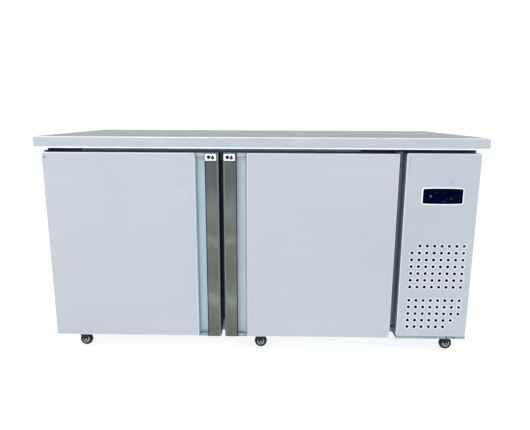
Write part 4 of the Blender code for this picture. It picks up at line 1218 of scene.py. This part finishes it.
def make_caster(name):
    """A pressed fork on a ball race, and a wheel with a black tyre, a grey hub ring and a pale axle end."""
    plate_low, plate_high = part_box(f"{name}_plate")
    wheel_low, wheel_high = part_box(f"{name}_wheel")
    fork, wheel = f"{name}_fork", f"{name}_wheel"
    center = (wheel_low + wheel_high) / 2
    radius = (wheel_high.z - wheel_low.z) / 2
    king = (plate_low + plate_high) / 2
    king.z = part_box(fork)[1].z
    bell = [(0.0043, 0.0), (0.013, 0.0), (0.0158, -0.0012), (0.017, -0.004), (0.0168, -0.0072),
            (0.015, -0.0105), (0.0128, -0.012), (0.0043, -0.012)]
    lathe(f"{name}_swivel_bell", bell, king, Z, "black_paint", fork, fork, 32)
    top, heel, toe = king.z - 0.0095, king.x - 0.013, king.x + 0.022
    leg = fillet([(heel, top, 0.0015), (heel + 0.0005, top - 0.0045, 0.003),
                  (center.x - 0.0075, center.z + 0.001, 0.004), (center.x - 0.0045, center.z - 0.0062, 0.003),
                  (center.x + 0.0045, center.z - 0.0062, 0.003), (center.x + 0.0075, center.z + 0.001, 0.004),
                  (toe - 0.0005, top - 0.0045, 0.003), (toe, top, 0.0015)], 4)
    legs = [(leg, king.y + low_y, king.y + low_y + 0.002) for low_y in (-0.0125, 0.0105)]
    crown = fillet([(heel, top - 0.0025, 0), (toe, top - 0.0025, 0), (toe, top, 0.0008),
                    (heel, top, 0.0008)], 2)
    legs.append((crown, king.y - 0.0125, king.y + 0.0125))
    extrusion(f"{name}_fork_legs", legs, "black_paint", fork, soften=0.0005)
    end = [(0.0, 0.0132), (0.0022, 0.0131), (0.003, 0.0126)]
    lathe(f"{name}_axle", mirrored(end), center, Y, "zinc_plate", fork, steps=20, closed=False)

    half = (wheel_high.y - wheel_low.y) / 2 - 0.0012
    tyre = [(0.0135, half - 0.0008), (0.015, half), (radius - 0.0042, half), (radius - 0.002, half - 0.0012),
            (radius - 0.0006, half - 0.0032), (radius, half - 0.006)]
    lathe(f"{name}_tyre", mirrored(tyre), center, Y, "tyre_rubber", wheel, wheel, 48)
    hub = [(0.0034, half + 0.0011), (0.0064, half + 0.0011), (0.0072, half + 0.0004), (0.008, half - 0.0018),
           (0.0106, half - 0.002), (0.0114, half - 0.0002), (0.0128, half + 0.0001), (0.0134, half - 0.0008)]
    lathe(f"{name}_hub", mirrored(hub), center, Y, "hub_plastic", wheel, steps=48)
    bolts = [(x, y, plate_low.z + 0.0001) for x in (king.x - 0.0235, king.x + 0.0235)
             for y in (king.y - 0.0155, king.y + 0.0155)]
    screw_heads(f"{name}_plate_screws", bolts, -Z, 0.0034)


def mirrored(profile):
    """A lathe profile followed by its mirror image on the other side of the middle."""
    return profile + [(radius, -height) for radius, height in reversed(profile)]


# -------------------------------- CAD parts that stay as they are

CASTERS = [f"caster_{row}_{place}" for row in ("front", "rear") for place in ("left", "centre", "right")]
KEPT = {
    "rigid_foam": ("cabinet_insulation", "door_left_core", "door_right_core"),
    "zinc_plate": ("shelf_centre_support", *(f"{caster}_plate" for caster in CASTERS)),
    "fin_stack": ("evaporator_coil",),
    "black_fin_stack": ("condenser_coil",),
    "tray_steel": ("machine_base_tray",),
    "black_paint": ("compressor",),
    "hinge_paint": [f"hinge_bracket_{end}_{side}" for end in ("top", "bottom") for side in ("left", "right")],
}


def dress_kept_nodes():
    for look, names in KEPT.items():
        for name in names:
            slot = frame["nodes"][name].material_slots[0]
            slot.link = "OBJECT"
            slot.material = LOOKS[look]


# -------------------------------- camera, floor and light

def make_camera():
    camera = add_object("camera", bpy.data.cameras.new("camera"))
    camera.data.sensor_width = 36.0
    camera.data.lens = 32.5
    camera.data.clip_start = 0.02
    pitch, yaw, roll = math.radians(-11.87), math.radians(0.98), math.radians(0.25)
    turn = Matrix.Rotation(yaw, 4, "Z") @ Matrix.Rotation(math.radians(90) + pitch, 4, "X")
    camera.matrix_world = Matrix.Translation((0.044, -1.929, 0.851)) @ turn @ Matrix.Rotation(roll, 4, "Z")
    bpy.context.scene.camera = camera


def make_floor():
    """A pale floor that curves up into a wall all round, far behind the fridge."""
    bm = bmesh.new()
    flat, curve = 7.0, 2.0
    profile = [(0.0, 0.0)]
    for step in range(9):
        turn = math.radians(90 * step / 8)
        profile.append((flat + curve * math.sin(turn), curve - curve * math.cos(turn)))
    profile.append((flat + curve, 7.0))
    add_lathe(bm, profile, Vector(), Z, 64, closed=False)
    bmesh.ops.recalc_face_normals(bm, faces=bm.faces)
    mesh = bpy.data.meshes.new("studio_floor")
    bm.to_mesh(mesh)
    bm.free()
    mesh.shade_smooth()
    look = Surface("studio_floor", 0.75, specular=0.2)
    look.glow((1.0, 1.0, 1.0), 0.74)
    look.set("Base Color", look.mix(look.noise(1.5), srgb(172, 172, 173), srgb(176, 176, 176)))
    mesh.materials.append(look.material)
    add_object("studio_floor", mesh)


def add_area_light(name, place, target, width, height, power):
    light = bpy.data.lights.new(name, "AREA")
    light.shape = "RECTANGLE"
    light.size = width
    light.size_y = height
    light.energy = power
    obj = add_object(name, light)
    obj.location = place
    obj.rotation_euler = (Vector(target) - Vector(place)).to_track_quat("-Z", "Y").to_euler()


def make_lights():
    add_area_light("key_light", (-1.6, -3.2, 3.4), (0.0, 0.0, 0.4), 2.2, 1.8, 61)
    add_area_light("fill_light", (2.8, -3.0, 1.8), (0.1, 0.0, 0.4), 2.4, 2.4, 6)
    add_area_light("top_light", (0.0, 0.6, 4.2), (0.0, 0.2, 0.0), 5.0, 4.0, 30)
    world = bpy.data.worlds.new("studio")
    world.use_nodes = True
    background = world.node_tree.nodes["Background"]
    background.inputs["Color"].default_value = (1.0, 1.0, 1.0, 1.0)
    background.inputs["Strength"].default_value = 0.475
    bpy.context.scene.world = world
    bpy.context.scene.view_settings.view_transform = "Standard"


make_worktop()
make_cabinet()
for shelf_side in ("left", "right"):
    make_shelf(shelf_side)
for door_side in ("left", "right"):
    make_door(door_side)
make_hinge_screws("top", 0.015, 0.0045)
make_hinge_screws("bottom", 0.0045, 0.0026)
make_machine_bay()
make_bay_scuffs()
make_controller()
make_evaporator()
make_rotor("evaporator_fan", X, 0.022, 0.011, 0.0033)
make_condenser_fan_frame()
make_rotor("condenser_fan", Y, 0.03, 0.015, 0.0043)
for caster in CASTERS:
    make_caster(caster)
dress_kept_nodes()
make_camera()
make_floor()
make_lights()
